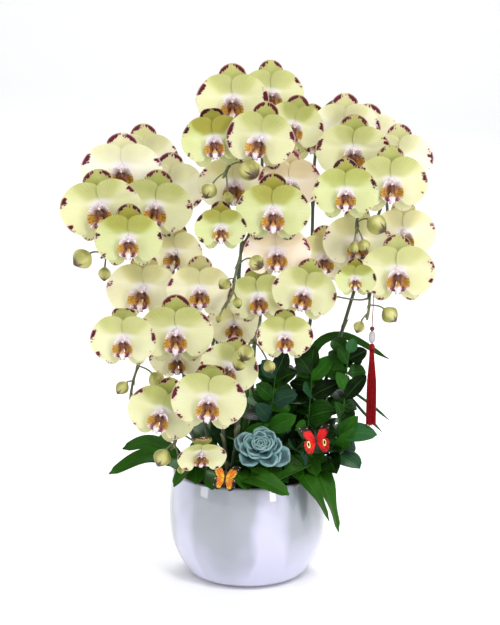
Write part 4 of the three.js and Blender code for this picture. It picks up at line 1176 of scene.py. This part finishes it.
def bloom_pedicel(route, bloom):
    """Where a bloom's pedicel leaves the spike, and its route to the bloom's neck."""
    stand = facing(bloom)
    end = stand @ Vector((0, NECK_REACH, 0))
    back = (stand.to_3x3() @ Vector((0, 1, 0))).normalized()
    if "over" in bloom:
        bend = seen(bloom["over"])
        share = attach(route, bend)
        places = spline([route.at(share), bend, end + back * 4, end], 7)
        return share, Route(places).even(16)
    share = attach(route, end + back * 12, bloom.get("lead", 10))
    start = route.at(share)
    length = (end - start).length
    bow = Vector(bloom.get("bow", (0, 0, 0)))
    knots = [start, start + route.tangent(share) * (0.25 * length), end + back * (0.4 * length) + bow, end]
    return share, bezier(knots, 16)


def bud_place(route, bud):
    """Where a bud's pedicel leaves, its route, the bud's centre and the way that it points."""
    centre = seen(bud["at"])
    height = bud["size"][1]
    share = attach(route, centre)
    start = route.at(share)
    axis = ((centre - start).normalized() + Vector((0, 0, -0.5))).normalized()
    base = centre - axis * (0.42 * height)
    knots = [start, base - axis * (0.4 * (base - start).length), base]
    return share, bezier(knots, 12), centre, axis


def add_bract(bm, centre, along, radius, length, turn):
    """A small papery scale that clasps the stalk at a node."""
    out = along.orthogonal().normalized()
    out = Matrix.Rotation(turn, 3, along) @ out
    side = along.cross(out)

    def place(s, r):
        spread = (s - 0.5) * 3.4 * (1 - r) ** 0.7
        away = radius + 0.25 + 1.6 * r * r
        return centre + along * (length * r) + (out * math.cos(spread) + side * math.sin(spread)) * away

    blade(bm, 6, 5, place, 0.5, lambda s, r: (0.35, 0.35 * r, 0, 0))


def add_bud(bm, centre, axis, size, seed):
    """A pointed egg of three sepals, with the seams where they meet."""
    width, height = size
    turn_to = Vector((0, 0, 1)).rotation_difference(axis).to_matrix()

    def place(s, r):
        swell = math.sin(math.pi * r) ** 0.72 * (1 - 0.22 * (r - 0.4)) * (1 - 0.18 * smooth(0.75, 1, r))
        seam = abs(math.cos(1.5 * (2 * math.pi * s + seed)))
        groove = 1 - 0.07 * (1 - smooth(0.0, 0.35, seam)) * smooth(0.05, 0.4, r)
        radius = 0.5 * width * swell * groove
        turn = 2 * math.pi * s
        return centre + turn_to @ Vector((radius * math.cos(turn), radius * math.sin(turn),
                                          (r - 0.5) * height))

    def paint(s, r):
        seam = abs(math.cos(1.5 * (2 * math.pi * s + seed)))
        dark = 0.85 * smooth(0.62, 0.98, r) + 0.55 * (1 - smooth(0.0, 0.22, seam)) * smooth(0.25, 0.8, r)
        return (dark, 0.25 + 0.4 * smooth(0.4, 1.0, seam) + 0.2 * smooth(0.5, 0.0, r), 0.0, 0.0)

    shell(bm, 30, 20, place, paint)


def make_spikes(plant, materials):
    """The stalks of one plant, with their nodes and bracts, and its buds as a piece of their own."""
    name = plant["name"]
    draw = random.Random(f"spray {name}")
    stalks, buds = new_mesh(), new_mesh()
    for spike in spikes(plant):
        route = spike_route(plant["foot"], spike["way"])
        nodes = []
        for bloom in spike["blooms"]:
            share, places = bloom_pedicel(route, bloom)
            nodes.append(share)
            tube(stalks, places, lambda w: PEDICEL_RADIUS * (1.05 - 0.25 * math.sin(math.pi * w)),
                 lambda s, r: (0.30 + 0.35 * r, 0.15 * r, 0, 0))
        for bud in spike["buds"]:
            share, places, centre, axis = bud_place(route, bud)
            nodes.append(share)
            tube(stalks, places, lambda w: mix(1.1, 1.5, w ** 3), lambda s, r: (0.3 + 0.3 * r, 0.1, 0, 0))
            add_bud(buds, centre, axis, bud["size"], draw.uniform(0, 6.3))
        nodes = [share for share in nodes if share < 0.999] + [*BARE_NODES]

        def radius(w):
            swell = sum(bump(node, 2.6 / route.length, w) for node in nodes)
            return SPIKE_RADIUS * mix(1.05, 0.62, w ** 1.5) + 0.55 * min(swell, 1.2)

        tube(stalks, route.even(round(route.length / 4)), radius, lambda s, r: (0.05 + 0.5 * r, 0, 0, 0), 10)
        for node in nodes:
            length = draw.uniform(6, 8) if node > 0.5 else 14
            add_bract(stalks, route.at(node), route.tangent(node), radius(node) * 0.9, length,
                      draw.uniform(0, 6.3))
    finish_piece(stalks, f"stalk_{name}", [materials["stem"]], f"plant_{name}", "plant")
    finish_piece(buds, f"buds_{name}", [materials["bud"]], f"plant_{name}", "plant")


def on_plant(table, name):
    """The rows of a table that belong to one plant."""
    return [row for row in table if row["plant"] == name]


def make_leaves(plant, materials):
    """The strap leaves of one plant, with its crown and its aerial roots."""
    name, foot = plant["name"], plant["foot"]
    draw = random.Random(f"leaves {name}")
    bm = new_mesh()
    crown = [(0, FEET), (7, FEET), (8, EDGE), (8.4, CROWN + 6), (6, CROWN + 12), (3.5, CROWN + 13),
             (0, CROWN + 13)]
    turned(bm, crown, 16, Vector((*foot, 0)), (0.3, 0, 0, 0))
    for rank, leaf in enumerate(on_plant(STRAP_LEAVES, name)):
        add_strap_leaf(bm, foot, leaf, rank, 0.0, draw)
    for leaf in on_plant(LOW_LEAVES, name):
        add_strap_leaf(bm, foot, leaf, 0, 0.0, draw)
    # The tall leaves are painted darker, as painted shade behind the sprigs.
    for leaf in on_plant(TALL_LEAVES, name):
        add_strap_leaf(bm, foot, leaf, 1, -0.35, draw)
    for root in on_plant(AERIAL_ROOTS, name):
        route = spike_route(foot, root["way"])
        tube(bm, route.even(40), lambda w: 2.1 * (1 - 0.75 * smooth(0.93, 1.0, w)), (0.1, 0.25, 0, 0), 10)
    finish_piece(bm, f"leaves_{name}", [materials["leaf"]], f"plant_{name}", "plant")


def add_strap_leaf(bm, foot, leaf, rank, tone, draw):
    """A thick strap leaf, folded along its midrib and arching to a blunt tip.

    rank is its place up the crown, and a leaf's face is the share by which it is turned to the front.
    """
    low = Vector((*foot, CROWN + 3.1 + 2.7 * rank))
    first = seen(leaf["way"][0]) - low
    first.z = 0
    low += first.normalized() * 5.2
    route = Route(spline([low, *map(seen, leaf["way"])], 14))
    width, face = leaf["width"], leaf.get("face", 0.0)
    lean = draw.uniform(0.05, 0.35)

    def place(s, r):
        along = route.tangent(r)
        side = Vector((along.y, -along.x, 0))
        side = side.normalized() if side.length > 0.3 else Vector((1, 0, 0))
        up = side.cross(along).normalized()
        t = min(max(r, 0.0), 1.0)
        if face:
            up = up.lerp(Vector((0, -1, 0)), face * smooth(0.1, 0.45, t))
            up = (up - along * up.dot(along)).normalized()
            side = along.cross(up)
        swell = max(math.sin(math.pi * (0.03 + 0.92 * t)), 0.0) ** 0.6
        half = width / 2 * swell * (1 - smooth(0.93, 1.0, t) * 0.75)
        off = 2 * s - 1
        fold = 0.24 * abs(off) ** 1.3 + 0.05 * off * off
        ripple = 0.02 * math.sin(9 * t + 5 * lean) * off * off
        return route.at(t) + side * (off * half) + up * (half * (fold + ripple))

    blade(bm, 12, 34, place, 1.9, lambda s, r: (lean + 0.25 * r + tone, 0, 0, 0))


def leaf_sheet(bm, base, tip, width, toward, bend, blue, tone):
    """A stalked oval leaf from base to tip, folded a little along its rib and drooping at its end."""
    line = tip - base
    length = line.length
    along = line.normalized()
    up = (toward - along * toward.dot(along)).normalized()
    side = up.cross(along)

    def place(s, r):
        off = 2 * s - 1
        t = (r - 0.08) / 0.92
        half = width * 0.54 * (max(math.sin(math.pi * max(t, 0.0) ** 0.9), 0.0) ** 0.6) + 0.5 * (1 - r)
        rise = bend * length * (4 * r * (1 - r)) * 0.5 - bend * length * 0.3 * r * r
        fold = 0.20 * half * abs(off) ** 1.4
        return base + along * (length * r) + side * (off * half) + up * (rise + fold)

    blade(bm, 8, 10, place, 0.8, (tone, blue, 0, 0))


SMALL_LEAVES = 28


def make_sprig(sprig, materials):
    """A leafy stem: the big leaves by their seen tips, and smaller ones between them."""
    name = sprig["name"]
    draw = random.Random(name)
    foot = Vector((*sprig["foot"], FEET))
    high = Vector((*sprig["foot"], CROWN + 14))
    route = Route(spline([foot, high, *map(seen, sprig["way"])], 12))
    bm = new_mesh()
    tube(bm, route.even(40), lambda w: mix(1.8, 0.9, w), (0.4, 0, 0, 0))
    toward = Vector((0, -1, 0.55))
    for leaf in [*sprig["leaves"], *sprig["fill"]]:
        blue = leaf.get("blue", draw.choice((0, 0, 0.25)))
        turn = Vector((draw.uniform(-0.5, 0.5), 0, draw.uniform(-0.2, 0.4)))
        leaf_sheet(bm, route.at(leaf["start"]), seen(leaf["tip"]), leaf["width"], toward + turn,
                   draw.uniform(0.05, 0.2), blue, draw.choice((-0.2, -0.1, 0.1, 0.45)))
    for _ in range(SMALL_LEAVES):
        start = route.at(draw.uniform(0.3, 1.0))
        turn = draw.uniform(0, 2 * math.pi)
        reach = draw.uniform(22, 34)
        back = abs(math.sin(turn)) * reach * 0.8 + 4
        tip = start + Vector((math.cos(turn) * reach, back, draw.uniform(-4, 16)))
        leaf_sheet(bm, start, tip, draw.uniform(17, 25), Vector((0, -1, 0.45)), draw.uniform(0.05, 0.25), 0,
                   draw.uniform(-0.2, 0.2))
    finish_piece(bm, f"foliage_{name}", [materials["foliage"]], name, "foliage")


# The golden angle, by which each leaf or strand turns from the last.
GOLDEN = math.pi * (3 - math.sqrt(5))

# The rosette's middle as a place in the photograph, its radius in mm and how far it leans to the front in
# degrees.
ROSETTE = {"heart": (261, 449, -76), "radius": 49, "lean": 50, "leaves": 42}


def make_echeveria(materials):
    """The echeveria: leaves set at the golden angle, longest and flattest outside."""
    bm = new_mesh()
    radius, count = ROSETTE["radius"], ROSETTE["leaves"]
    heart = seen(ROSETTE["heart"])
    lift = Matrix.Translation(heart) @ Matrix.Rotation(math.radians(ROSETTE["lean"]), 4, "X")
    draw = random.Random("echeveria")
    for k in range(count):
        age = 1 - k / (count - 1)
        turn = GOLDEN * k + draw.uniform(-0.45, 0.45)
        low = 0.5 - 0.5 * math.sin(turn)
        reach = radius * mix(0.2, 1.0, age ** 0.8) * draw.uniform(0.8, 1.0) * mix(0.72, 1.04, low)
        rise = math.radians(mix(80, 12, age ** 0.75) + draw.uniform(-15, 15) * age)
        width = 0.6 * radius * mix(0.28, 1.0, age ** 0.9) * draw.uniform(0.85, 1.1)
        along = Vector((math.cos(turn) * math.cos(rise), math.sin(turn) * math.cos(rise), math.sin(rise)))
        side = Vector((-math.sin(turn), math.cos(turn), 0))
        up = along.cross(side)
        base = Vector((0, 0, mix(7, -1, age)))

        def place(s, r):
            off = 2 * s - 1
            half = width * 0.5 * (0.30 + 0.70 * math.sin(math.pi * min(r / 1.3, 0.5)) ** 1.2)
            half *= max(1 - smooth(0.72, 1.0, r) ** 1.2, 0.0) ** 0.5 if r < 1 else 0.0
            cupped = 0.10 * reach * r * r + 0.22 * half * off * off
            return lift @ (base + along * (reach * r) + side * (off * half) + up * cupped)

        blade(bm, 10, 10, place, 4.5 * mix(0.6, 1.0, age), UNPAINTED)
    foot = Vector((heart.x, heart.y + 18, FEET))
    stem = spline([foot, Vector((foot.x, foot.y, CROWN + 8)), heart + Vector((0, 8, -9)), heart], 6)
    tube(bm, stem, 4.6, UNPAINTED, 12)
    finish_piece(bm, "echeveria_rosette", [materials["succulent"]], "echeveria", "succulent")


# The butterfly, for half a span of 1: its right wings, its body's tail and head, and its right feeler, whose
# height is in mm.
FORE_WING = ((0.02, 0.05), (0.3, 0.6), (0.62, 0.86), (0.96, 0.8), (0.94, 0.5), (0.74, 0.16), (0.5, 0.02),
             (0.06, -0.02))
HIND_WING = ((0.03, 0.02), (0.45, 0.04), (0.76, 0.0), (0.8, -0.32), (0.66, -0.66), (0.36, -0.74),
             (0.14, -0.4), (0.02, -0.12))
BODY_ENDS = (-0.62, 0.56)
FEELER = ((0.03, 0.52, 1), (0.12, 0.75, 4), (0.26, 0.95, 6))


def make_butterfly(facts, materials):
    """A butterfly pick: four printed wings, a furred body, its feelers and the wire that it stands on."""
    half = facts["span"] / 2
    rise = math.radians(facts["rise"])
    centre = seen(facts["at"])
    stand = (Matrix.Translation(centre) @ Matrix.Rotation(math.radians(facts["roll"]), 4, "Y")
             @ Matrix.Rotation(math.radians(78), 4, "X"))
    root = Vector((0.02, 0.0))
    bm = new_mesh()
    for side in (1, -1):
        for lift, outline, eye in ((0.0, FORE_WING, 0.0), (-0.5, HIND_WING, facts["eyes"])):
            edge = rounded(outline, 40)

            def place(s, r):
                x, y = root.lerp(edge_place(edge, s), mix(0.04, 1.0, r)) * half
                up = x * math.sin(rise) + lift + 0.8 * math.sin(3 * r)
                return stand @ Vector((side * x * math.cos(rise), y, up))

            def paint(s, r):
                tip = 0.56 - 0.2 * bump(0.42, 0.16, s) * (1 - eye) + 0.3 * eye
                return (smooth(tip + 0.24, tip + 0.34, r), eye, 0, 0)

            blade(bm, 20, 10, place, 0.35, paint)

    def girth(w):
        fur = 0.055 + 0.045 * bump(0.75, 0.12, w) + 0.01 * math.sin(60 * w)
        return half * fur * (0.35 + 0.65 * math.sin(math.pi * min(max(w, 0.02), 0.98)) ** 0.5)

    body = Route([stand @ Vector((0, y * half, 0.6)) for y in BODY_ENDS])
    tube(bm, body.even(24), girth, UNPAINTED, 10, 1)
    for side in (1, -1):
        feeler = [stand @ Vector((side * x * half, y * half, z)) for x, y, z in FEELER]
        tube(bm, spline(feeler, 5), lambda w: 0.28 + 0.35 * smooth(0.85, 1, w), UNPAINTED, 6, 1)
    foot = Vector((*facts["foot"], FEET))
    wire = spline([foot, Vector((*facts["foot"], CROWN + 8)), *map(seen, facts["way"]), centre], 10)
    tube(bm, wire, 0.8, UNPAINTED, 8, 1)
    name, finish = facts["name"], facts["finish"]
    finish_piece(bm, f"{name}_pick", [materials[finish], materials["dark"]], name, f"{finish}_wing")


# The pot in mm, and its side from the foot to the rim as (radius, height).
POT = {"height": 150, "rim": 107, "belly": 112.5, "foot": 70, "wall": 7, "floor": 8, "roll": 3}
POT_SIDE = ((POT["foot"], 1.6), (84, 6), (97, 24), (108.5, 52), (POT["belly"], 92), (110.5, 124),
            (POT["rim"], POT["height"] - POT["roll"]))


def make_pot(materials):
    """The pot: one turned bowl with a rolled rim and a plain foot."""
    wall, floor = POT["wall"], POT["floor"]
    outside = spline([Vector(point) for point in POT_SIDE], 8)
    inside = [(radius - wall, height) for radius, height in reversed(POT_SIDE[3:])]
    inside = spline([Vector(point) for point in (*inside, (88, 24), (64, floor), (0, floor))], 5)
    roll = []
    for k in range(1, 12):
        turn = math.pi * k / 12
        height = POT["height"] - POT["roll"] * (1 - math.sin(turn))
        roll.append((POT["rim"] - wall / 2 * (1 - math.cos(turn)), height))
    bm = new_mesh()
    turned(bm, [(0, 0), (62, 0), (66.5, 0.3), *outside, *roll, *inside], 128, Vector(), UNPAINTED)
    finish_piece(bm, "glazed_pot", [materials["glaze"]], "pot", "glaze", sharp=40)


# The bark in mm: its radius, the height of its underside, how far it sags at its edge, and its loose chips.
BARK = {"radius": 99.0, "floor": 100.0, "sag": 4.5, "chips": 330}


def bark_height(radius):
    """The height of the bark at a distance from the middle of the pot."""
    return CROWN - BARK["sag"] * (radius / BARK["radius"]) ** 2


def make_medium(materials):
    """The growing medium: a bed of packed bark under loose chips."""
    draw = random.Random("bark")
    bm = new_mesh()

    def bed(s, r):
        turn = 2 * math.pi * s
        under = r > 0.9
        radius = BARK["radius"] * ((1 - r) / 0.1 if under else r / 0.9)
        x, y = radius * math.cos(turn), radius * math.sin(turn)
        rough = noise.noise(Vector((x, y, 0)) / 9.0) * 1.6
        return Vector((x, y, BARK["floor"] if under else bark_height(radius) + rough - 1.0))

    shell(bm, 96, 30, bed, (0.1, 0, 0, 0))
    mask = bm.verts.layers.float_color["paint"]
    for _ in range(BARK["chips"]):
        radius, turn = (BARK["radius"] - 2) * math.sqrt(draw.random()), draw.uniform(0, 2 * math.pi)
        size = Vector((draw.uniform(4, 8), draw.uniform(3, 5), draw.uniform(1.5, 3)))
        spin = Matrix.Rotation(draw.uniform(0, 6.3), 3, "Z")
        spin = spin @ Matrix.Rotation(draw.uniform(-0.5, 0.5), 3, "X")
        centre = Vector((radius * math.cos(turn), radius * math.sin(turn), bark_height(radius) + 0.5))
        tone = draw.uniform(0.0, 0.6)
        for vert in bmesh.ops.create_icosphere(bm, subdivisions=1, radius=1.0)["verts"]:
            shape = vert.co.normalized()
            worn = 0.8 + 0.4 * noise.noise(shape * 2 + centre)
            vert.co = centre + spin @ (shape * size) * worn
            vert[mask] = (tone, 0, 0, 0)
    finish_piece(bm, "bark_bed", [materials["bark"]], "growing_medium", "bark", sharp=35)


# The tassel: where it hangs on its plant's spike, the pixel and depth where its beads start, the thread's
# thickness, the dark bead's radius, the oval's radius and height, and the lengths of the skirt and of the
# thread in its head, in mm.
TASSEL = {"plant": "6", "on": 0.91, "beads_at": (369.5, 329, -80), "thread": 1.2, "bead": 3.3,
          "oval": (4.6, 17), "skirt": 114, "core": 64, "strands": 150}


def tassel_places():
    """The thread's route, round the spike, down and through the beads, and where the beads start."""
    plant = next(plant for plant in SPRAYS if plant["name"] == TASSEL["plant"])
    route = spike_route(plant["foot"], plant["way"])
    top, along = route.at(TASSEL["on"]), route.tangent(TASSEL["on"])
    aside = along.cross(Vector((0, 0, 1))).normalized()
    behind = along.cross(aside)
    # The loop clears the spike's swollen nodes.
    loop = SPIKE_RADIUS + 1.6 + TASSEL["thread"] / 2
    ring = []
    for i, degrees in enumerate((200, 150, 100, 50, 0, -50)):
        turn = math.radians(degrees)
        round_it = aside * math.cos(turn) + behind * math.sin(turn)
        ring.append(top + round_it * loop + along * (0.4 * i))
    front = top + Vector((0.5, -loop - 4, -4))
    low = Vector((front.x, front.y - 1, seen(TASSEL["beads_at"]).z))
    core = low - Vector((0, 0, 2 * TASSEL["bead"] + TASSEL["oval"][1] + TASSEL["core"]))
    return Route(spline([*ring, front, low, core], 10)).even(39), low


def make_tassel(materials):
    """The tassel: a tied thread, a dark bead over a pale oval one, and a bound head of fine threads."""
    places, low = tassel_places()
    centre = Vector((low.x, low.y, 0))
    bead = TASSEL["bead"]
    width, height = TASSEL["oval"]
    top = low.z - 0.3
    head = top - 2 * bead - height - 0.3

    bm = new_mesh()
    tube(bm, places, TASSEL["thread"] / 2, UNPAINTED)
    thread = finish_piece(bm, "tassel_thread", [materials["thread"]], "tassel_cord", "thread")

    bm = new_mesh()
    ball = [(bead * math.sin(math.pi * k / 14), top - bead + bead * math.cos(math.pi * k / 14))
            for k in range(15)]
    turned(bm, ball, 24, centre, UNPAINTED)
    middle = top - 2 * bead - height / 2 + 0.2
    oval = [(width * math.sin(math.pi * k / 18) ** 0.8, middle + 0.5 * height * math.cos(math.pi * k / 18))
            for k in range(19)]
    turned(bm, oval, 28, centre, UNPAINTED, 1)
    finishes = [materials["dark_bead"], materials["pale_bead"]]
    beads = finish_piece(bm, "tassel_beads", finishes, "tassel_bead", "bead")

    bm = new_mesh()
    draw = random.Random("tassel")
    knot = [(0, 0), (2.4, -0.4), (3.5, -2), (4.1, -4.5), (4.1, -6), (3.2, -8), (2.9, -8.6), (0, -8.6)]
    turned(bm, [(radius, head + z) for radius, z in knot], 28, centre, UNPAINTED)
    # Five turns of binding thread round the neck.
    for k in range(5):
        z = head - 8.1 - 0.55 * k
        binding = [(0, z + 0.27), (3.1, z + 0.27), (3.6, z), (3.1, z - 0.27), (0, z - 0.27)]
        turned(bm, binding, 24, centre, UNPAINTED)
    for k in range(TASSEL["strands"]):
        share = math.sqrt((k + 0.5) / TASSEL["strands"])
        drop = TASSEL["skirt"] - draw.uniform(0, 4)
        strand = []
        for j in range(8):
            w = j / 7
            radius = share * mix(2.7, 6.7, smooth(0.0, 0.55, w)) + 0.25 * math.sin(5 * w + k)
            swing = GOLDEN * k + 0.12 * math.sin(3 * w + 1.7 * k)
            z = head - 7.5 - (drop - 7.5) * w
            strand.append(centre + Vector((radius * math.cos(swing), radius * math.sin(swing), z)))
        tube(bm, strand, 0.42, UNPAINTED, 4)
    skirt = finish_piece(bm, "tassel_threads", [materials["thread"]], "tassel_skirt", "thread", sharp=80)

    length = Route(places).length * MM
    path = [tuple(place * MM) for place in places]
    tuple(path[0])


# The floor in metres: half its side, where it starts to rise behind and the radius that it curves up by.
FLOOR_HALF = 4.0
RISE_FROM = 1.6
RISE_RADIUS = 1.2

# The place in metres that the lights are turned to, and each light's place, size and share of the main power.
LIT = (0, 0, 0.38)
LIGHTS = {
    "key light": ((0.7, -1.5, 2.3), (0.5, 0.5), 1.0),
    "window light": ((1.25, -1.7, 0.75), (0.34, 1.3), 0.55),
    "fill light": ((-1.9, -0.9, 0.8), (0.5, 1.5), 0.4),
    "back light": ((0.2, 1.6, 1.9), (1.4, 1.4), 1.3),
}


def make_floor():
    """A floor of pale paper that curves up behind."""
    bm = bmesh.new()
    bmesh.ops.create_grid(bm, x_segments=1, y_segments=24, size=FLOOR_HALF)
    for vert in bm.verts:
        bend = vert.co.y - RISE_FROM
        if bend > 0:
            turn = min(bend / RISE_RADIUS, math.pi / 2)
            vert.co.z = RISE_RADIUS * (1 - math.cos(turn)) + max(bend - RISE_RADIUS * math.pi / 2, 0)
            vert.co.y = RISE_FROM + RISE_RADIUS * math.sin(turn)
    mesh = bpy.data.meshes.new("floor")
    bm.to_mesh(mesh)
    bm.free()
    mesh.shade_smooth()
    material, tree = blank_material("backdrop paper")
    paper = add_node(tree, "BsdfPrincipled", {"Base Color": "#fbfbfa", "Roughness": 0.9})
    add_node(tree, "OutputMaterial", {"Surface": paper})
    mesh.materials.append(material)
    add_to_scene("floor", mesh)


def make_lights(settings):
    """Soft light from all round and from four lamps."""
    world = bpy.data.worlds.new("studio")
    world.use_nodes = True
    background = world.node_tree.nodes["Background"]
    background.inputs["Color"].default_value = colour("#fbfcff")
    background.inputs["Strength"].default_value = settings.ambient
    bpy.context.scene.world = world
    for name, (place, size, share) in LIGHTS.items():
        lamp = bpy.data.lights.new(name, "AREA")
        lamp.shape = "RECTANGLE"
        lamp.size, lamp.size_y = size
        lamp.energy = settings.key * share
        light = add_to_scene(name, lamp)
        light.location = place
        light.rotation_euler = (Vector(LIT) - Vector(place)).to_track_quat("-Z", "Y").to_euler()


def make_camera():
    """The camera, at the eye that the tables are seen from."""
    lens = bpy.data.cameras.new("camera")
    lens.sensor_width = SENSOR
    lens.lens = SENSOR * LENS / PHOTO[1]
    camera = add_to_scene("camera", lens)
    camera.location = EYE * MM
    camera.rotation_euler = (math.pi / 2 - DIP, 0, 0)
    bpy.context.scene.camera = camera
    bpy.context.scene.view_settings.view_transform = "Standard"


MATERIALS = {}


def made_materials(settings):
    """Every finish of the plant, made once and kept for the operators."""
    if not MATERIALS:
        MATERIALS.update({
            "yellow": petal_material("yellow petal", "#f1f0d4", settings.cream, "#d3d592", settings.green,
                                     "#641020"),
            "pale": petal_material("pale petal", "#f8f6e4", "#f3efce", "#e2dda8", "#cfc98a", "#781c3c"),
            "peach": petal_material("peach petal", "#faf3ea", "#f6e9d2", "#eadbb8", "#d8cca0", "#8a2040"),
            "ivory": petal_material("ivory petal", "#fbf9ee", "#f8f6e2", "#e8e6c0", "#d8d79c", "#6e1838"),
            "green": petal_material("green petal", "#e9ecc4", "#dbe0a2", "#c3c873", "#b3ae48", "#45100f"),
            "lip": lip_material(),
            "stem": stem_material(),
            "bud": bud_material(),
            "leaf": leaf_material("strap leaf", "#0b1d05", "#28560f", "#3f6a50", 0.4, 3.0, 0.0004),
            "foliage": leaf_material("foliage", "#061603", "#2a5e14", "#3f6a5c", 0.36, 2.2, 0.0005),
            "succulent": succulent_material(),
            "glaze": glaze_material(settings),
            "bark": bark_material(),
            "orange": wing_material("orange wing", "#d8741c", "#f0c840", "#f4e0a8", (0.45, 0.55)),
            "red": wing_material("red wing", "#e01a1a", "#b41010", "#f0e080", (0.42, 0.62)),
            "dark": plain_material("insect body", "#120c0a", "#2a1c14", 400.0, 0.6),
            "thread": plain_material("silk thread", "#52040a", "#a80a14", 500.0, 0.55, 0.15),
            "dark_bead": plain_material("red agate", "#4a0810", "#6e0e18", 160.0, 0.12),
            "pale_bead": plain_material("white jade", "#9c9aa2", "#c2c0c8", 90.0, 0.14),
        })
    return MATERIALS


class ORCHID_PG_settings(bpy.types.PropertyGroup):
    """The sizes and colours of the plant."""

    cream: FloatVectorProperty(name="Cream", description="The petals' pale yellow", subtype="COLOR", size=3,
                               min=0, max=1, default=colour("#e7e7b6")[:3])
    green: FloatVectorProperty(name="Green", description="The petals' deepest green", subtype="COLOR", size=3,
                               min=0, max=1, default=colour("#bbbf68")[:3])
    glaze: FloatVectorProperty(name="Glaze", description="The pot's white glaze", subtype="COLOR", size=3,
                               min=0, max=1, default=colour("#9a9eaa")[:3])
    wave: FloatProperty(name="Wave", description="How far the petals' rims wave", default=1.0, min=0, max=3,
                        subtype="FACTOR")
    blotches: FloatProperty(name="Blotches", description="How much wine there is on the petals", default=1.0,
                            min=0, max=2, subtype="FACTOR")
    ambient: FloatProperty(name="Ambient", description="Strength of the light from all round", default=0.74,
                           min=0, max=4)
    key: FloatProperty(name="Key light", description="Power of the main light", default=25.0, min=0, max=400,
                       subtype="POWER", unit="POWER")


class ORCHID_OT_stage(bpy.types.Operator):
    """Add the floor, the lights and the camera"""

    bl_idname = "orchid.stage"
    bl_label = "Stage"

    def execute(self, context):
        make_floor()
        make_lights(context.scene.orchid)
        make_camera()
        return {"FINISHED"}


class ORCHID_OT_tassel(bpy.types.Operator):
    """Add the hanging tassel"""

    bl_idname = "orchid.tassel"
    bl_label = "Tassel"

    def execute(self, context):
        make_tassel(made_materials(context.scene.orchid))
        return {"FINISHED"}


class ORCHID_OT_flowers(bpy.types.Operator):
    """Add every bloom"""

    bl_idname = "orchid.flowers"
    bl_label = "Flowers"

    def execute(self, context):
        settings = context.scene.orchid
        materials = made_materials(settings)
        for plant in SPRAYS:
            blooms = [bloom for spike in spikes(plant) for bloom in spike["blooms"]]
            for i, bloom in enumerate(blooms, 1):
                make_bloom(f"{plant['name']}_{i}", bloom, settings, materials)
        return {"FINISHED"}


class ORCHID_OT_plants(bpy.types.Operator):
    """Add the stalks, the buds and the leaves of every plant"""

    bl_idname = "orchid.plants"
    bl_label = "Plants"

    def execute(self, context):
        materials = made_materials(context.scene.orchid)
        for plant in SPRAYS:
            make_spikes(plant, materials)
            make_leaves(plant, materials)
        return {"FINISHED"}


class ORCHID_OT_foliage(bpy.types.Operator):
    """Add the leafy sprigs and the echeveria"""

    bl_idname = "orchid.foliage"
    bl_label = "Foliage"

    def execute(self, context):
        materials = made_materials(context.scene.orchid)
        for sprig in SPRIGS:
            make_sprig(sprig, materials)
        make_echeveria(materials)
        return {"FINISHED"}


class ORCHID_OT_picks(bpy.types.Operator):
    """Add the two butterfly picks"""

    bl_idname = "orchid.picks"
    bl_label = "Butterfly picks"

    def execute(self, context):
        materials = made_materials(context.scene.orchid)
        for facts in BUTTERFLIES:
            make_butterfly(facts, materials)
        return {"FINISHED"}


class ORCHID_OT_pot(bpy.types.Operator):
    """Add the pot and the bark in it"""

    bl_idname = "orchid.pot"
    bl_label = "Pot"

    def execute(self, context):
        materials = made_materials(context.scene.orchid)
        make_pot(materials)
        make_medium(materials)
        return {"FINISHED"}


class ORCHID_PT_panel(bpy.types.Panel):
    """The orchid's panel in the sidebar"""

    bl_idname = "ORCHID_PT_panel"
    bl_label = "Potted moth orchid"
    bl_space_type = "VIEW_3D"
    bl_region_type = "UI"
    bl_category = "Orchid"

    def draw(self, context):
        settings = context.scene.orchid
        for name in ("cream", "green", "glaze", "wave", "blotches", "ambient", "key"):
            self.layout.prop(settings, name)
        for operator in OPERATORS:
            self.layout.operator(operator.bl_idname)


OPERATORS = (ORCHID_OT_stage, ORCHID_OT_tassel, ORCHID_OT_flowers, ORCHID_OT_plants, ORCHID_OT_foliage,
             ORCHID_OT_picks, ORCHID_OT_pot)
CLASSES = (ORCHID_PG_settings, *OPERATORS, ORCHID_PT_panel)


def register():
    """Makes the panel, its operators and the scene's settings known to Blender."""
    for kind in CLASSES:
        bpy.utils.register_class(kind)
    bpy.types.Scene.orchid = PointerProperty(type=ORCHID_PG_settings)


def unregister():
    """Takes the settings and the classes away again."""
    del bpy.types.Scene.orchid
    for kind in reversed(CLASSES):
        bpy.utils.unregister_class(kind)


def main():
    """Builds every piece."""
    register()
    bpy.ops.orchid.stage()
    bpy.ops.orchid.tassel()
    bpy.ops.orchid.flowers()
    bpy.ops.orchid.plants()
    bpy.ops.orchid.foliage()
    bpy.ops.orchid.picks()
    bpy.ops.orchid.pot()
    bpy.context.view_layer.update()


if __name__ == "__main__":
    main()
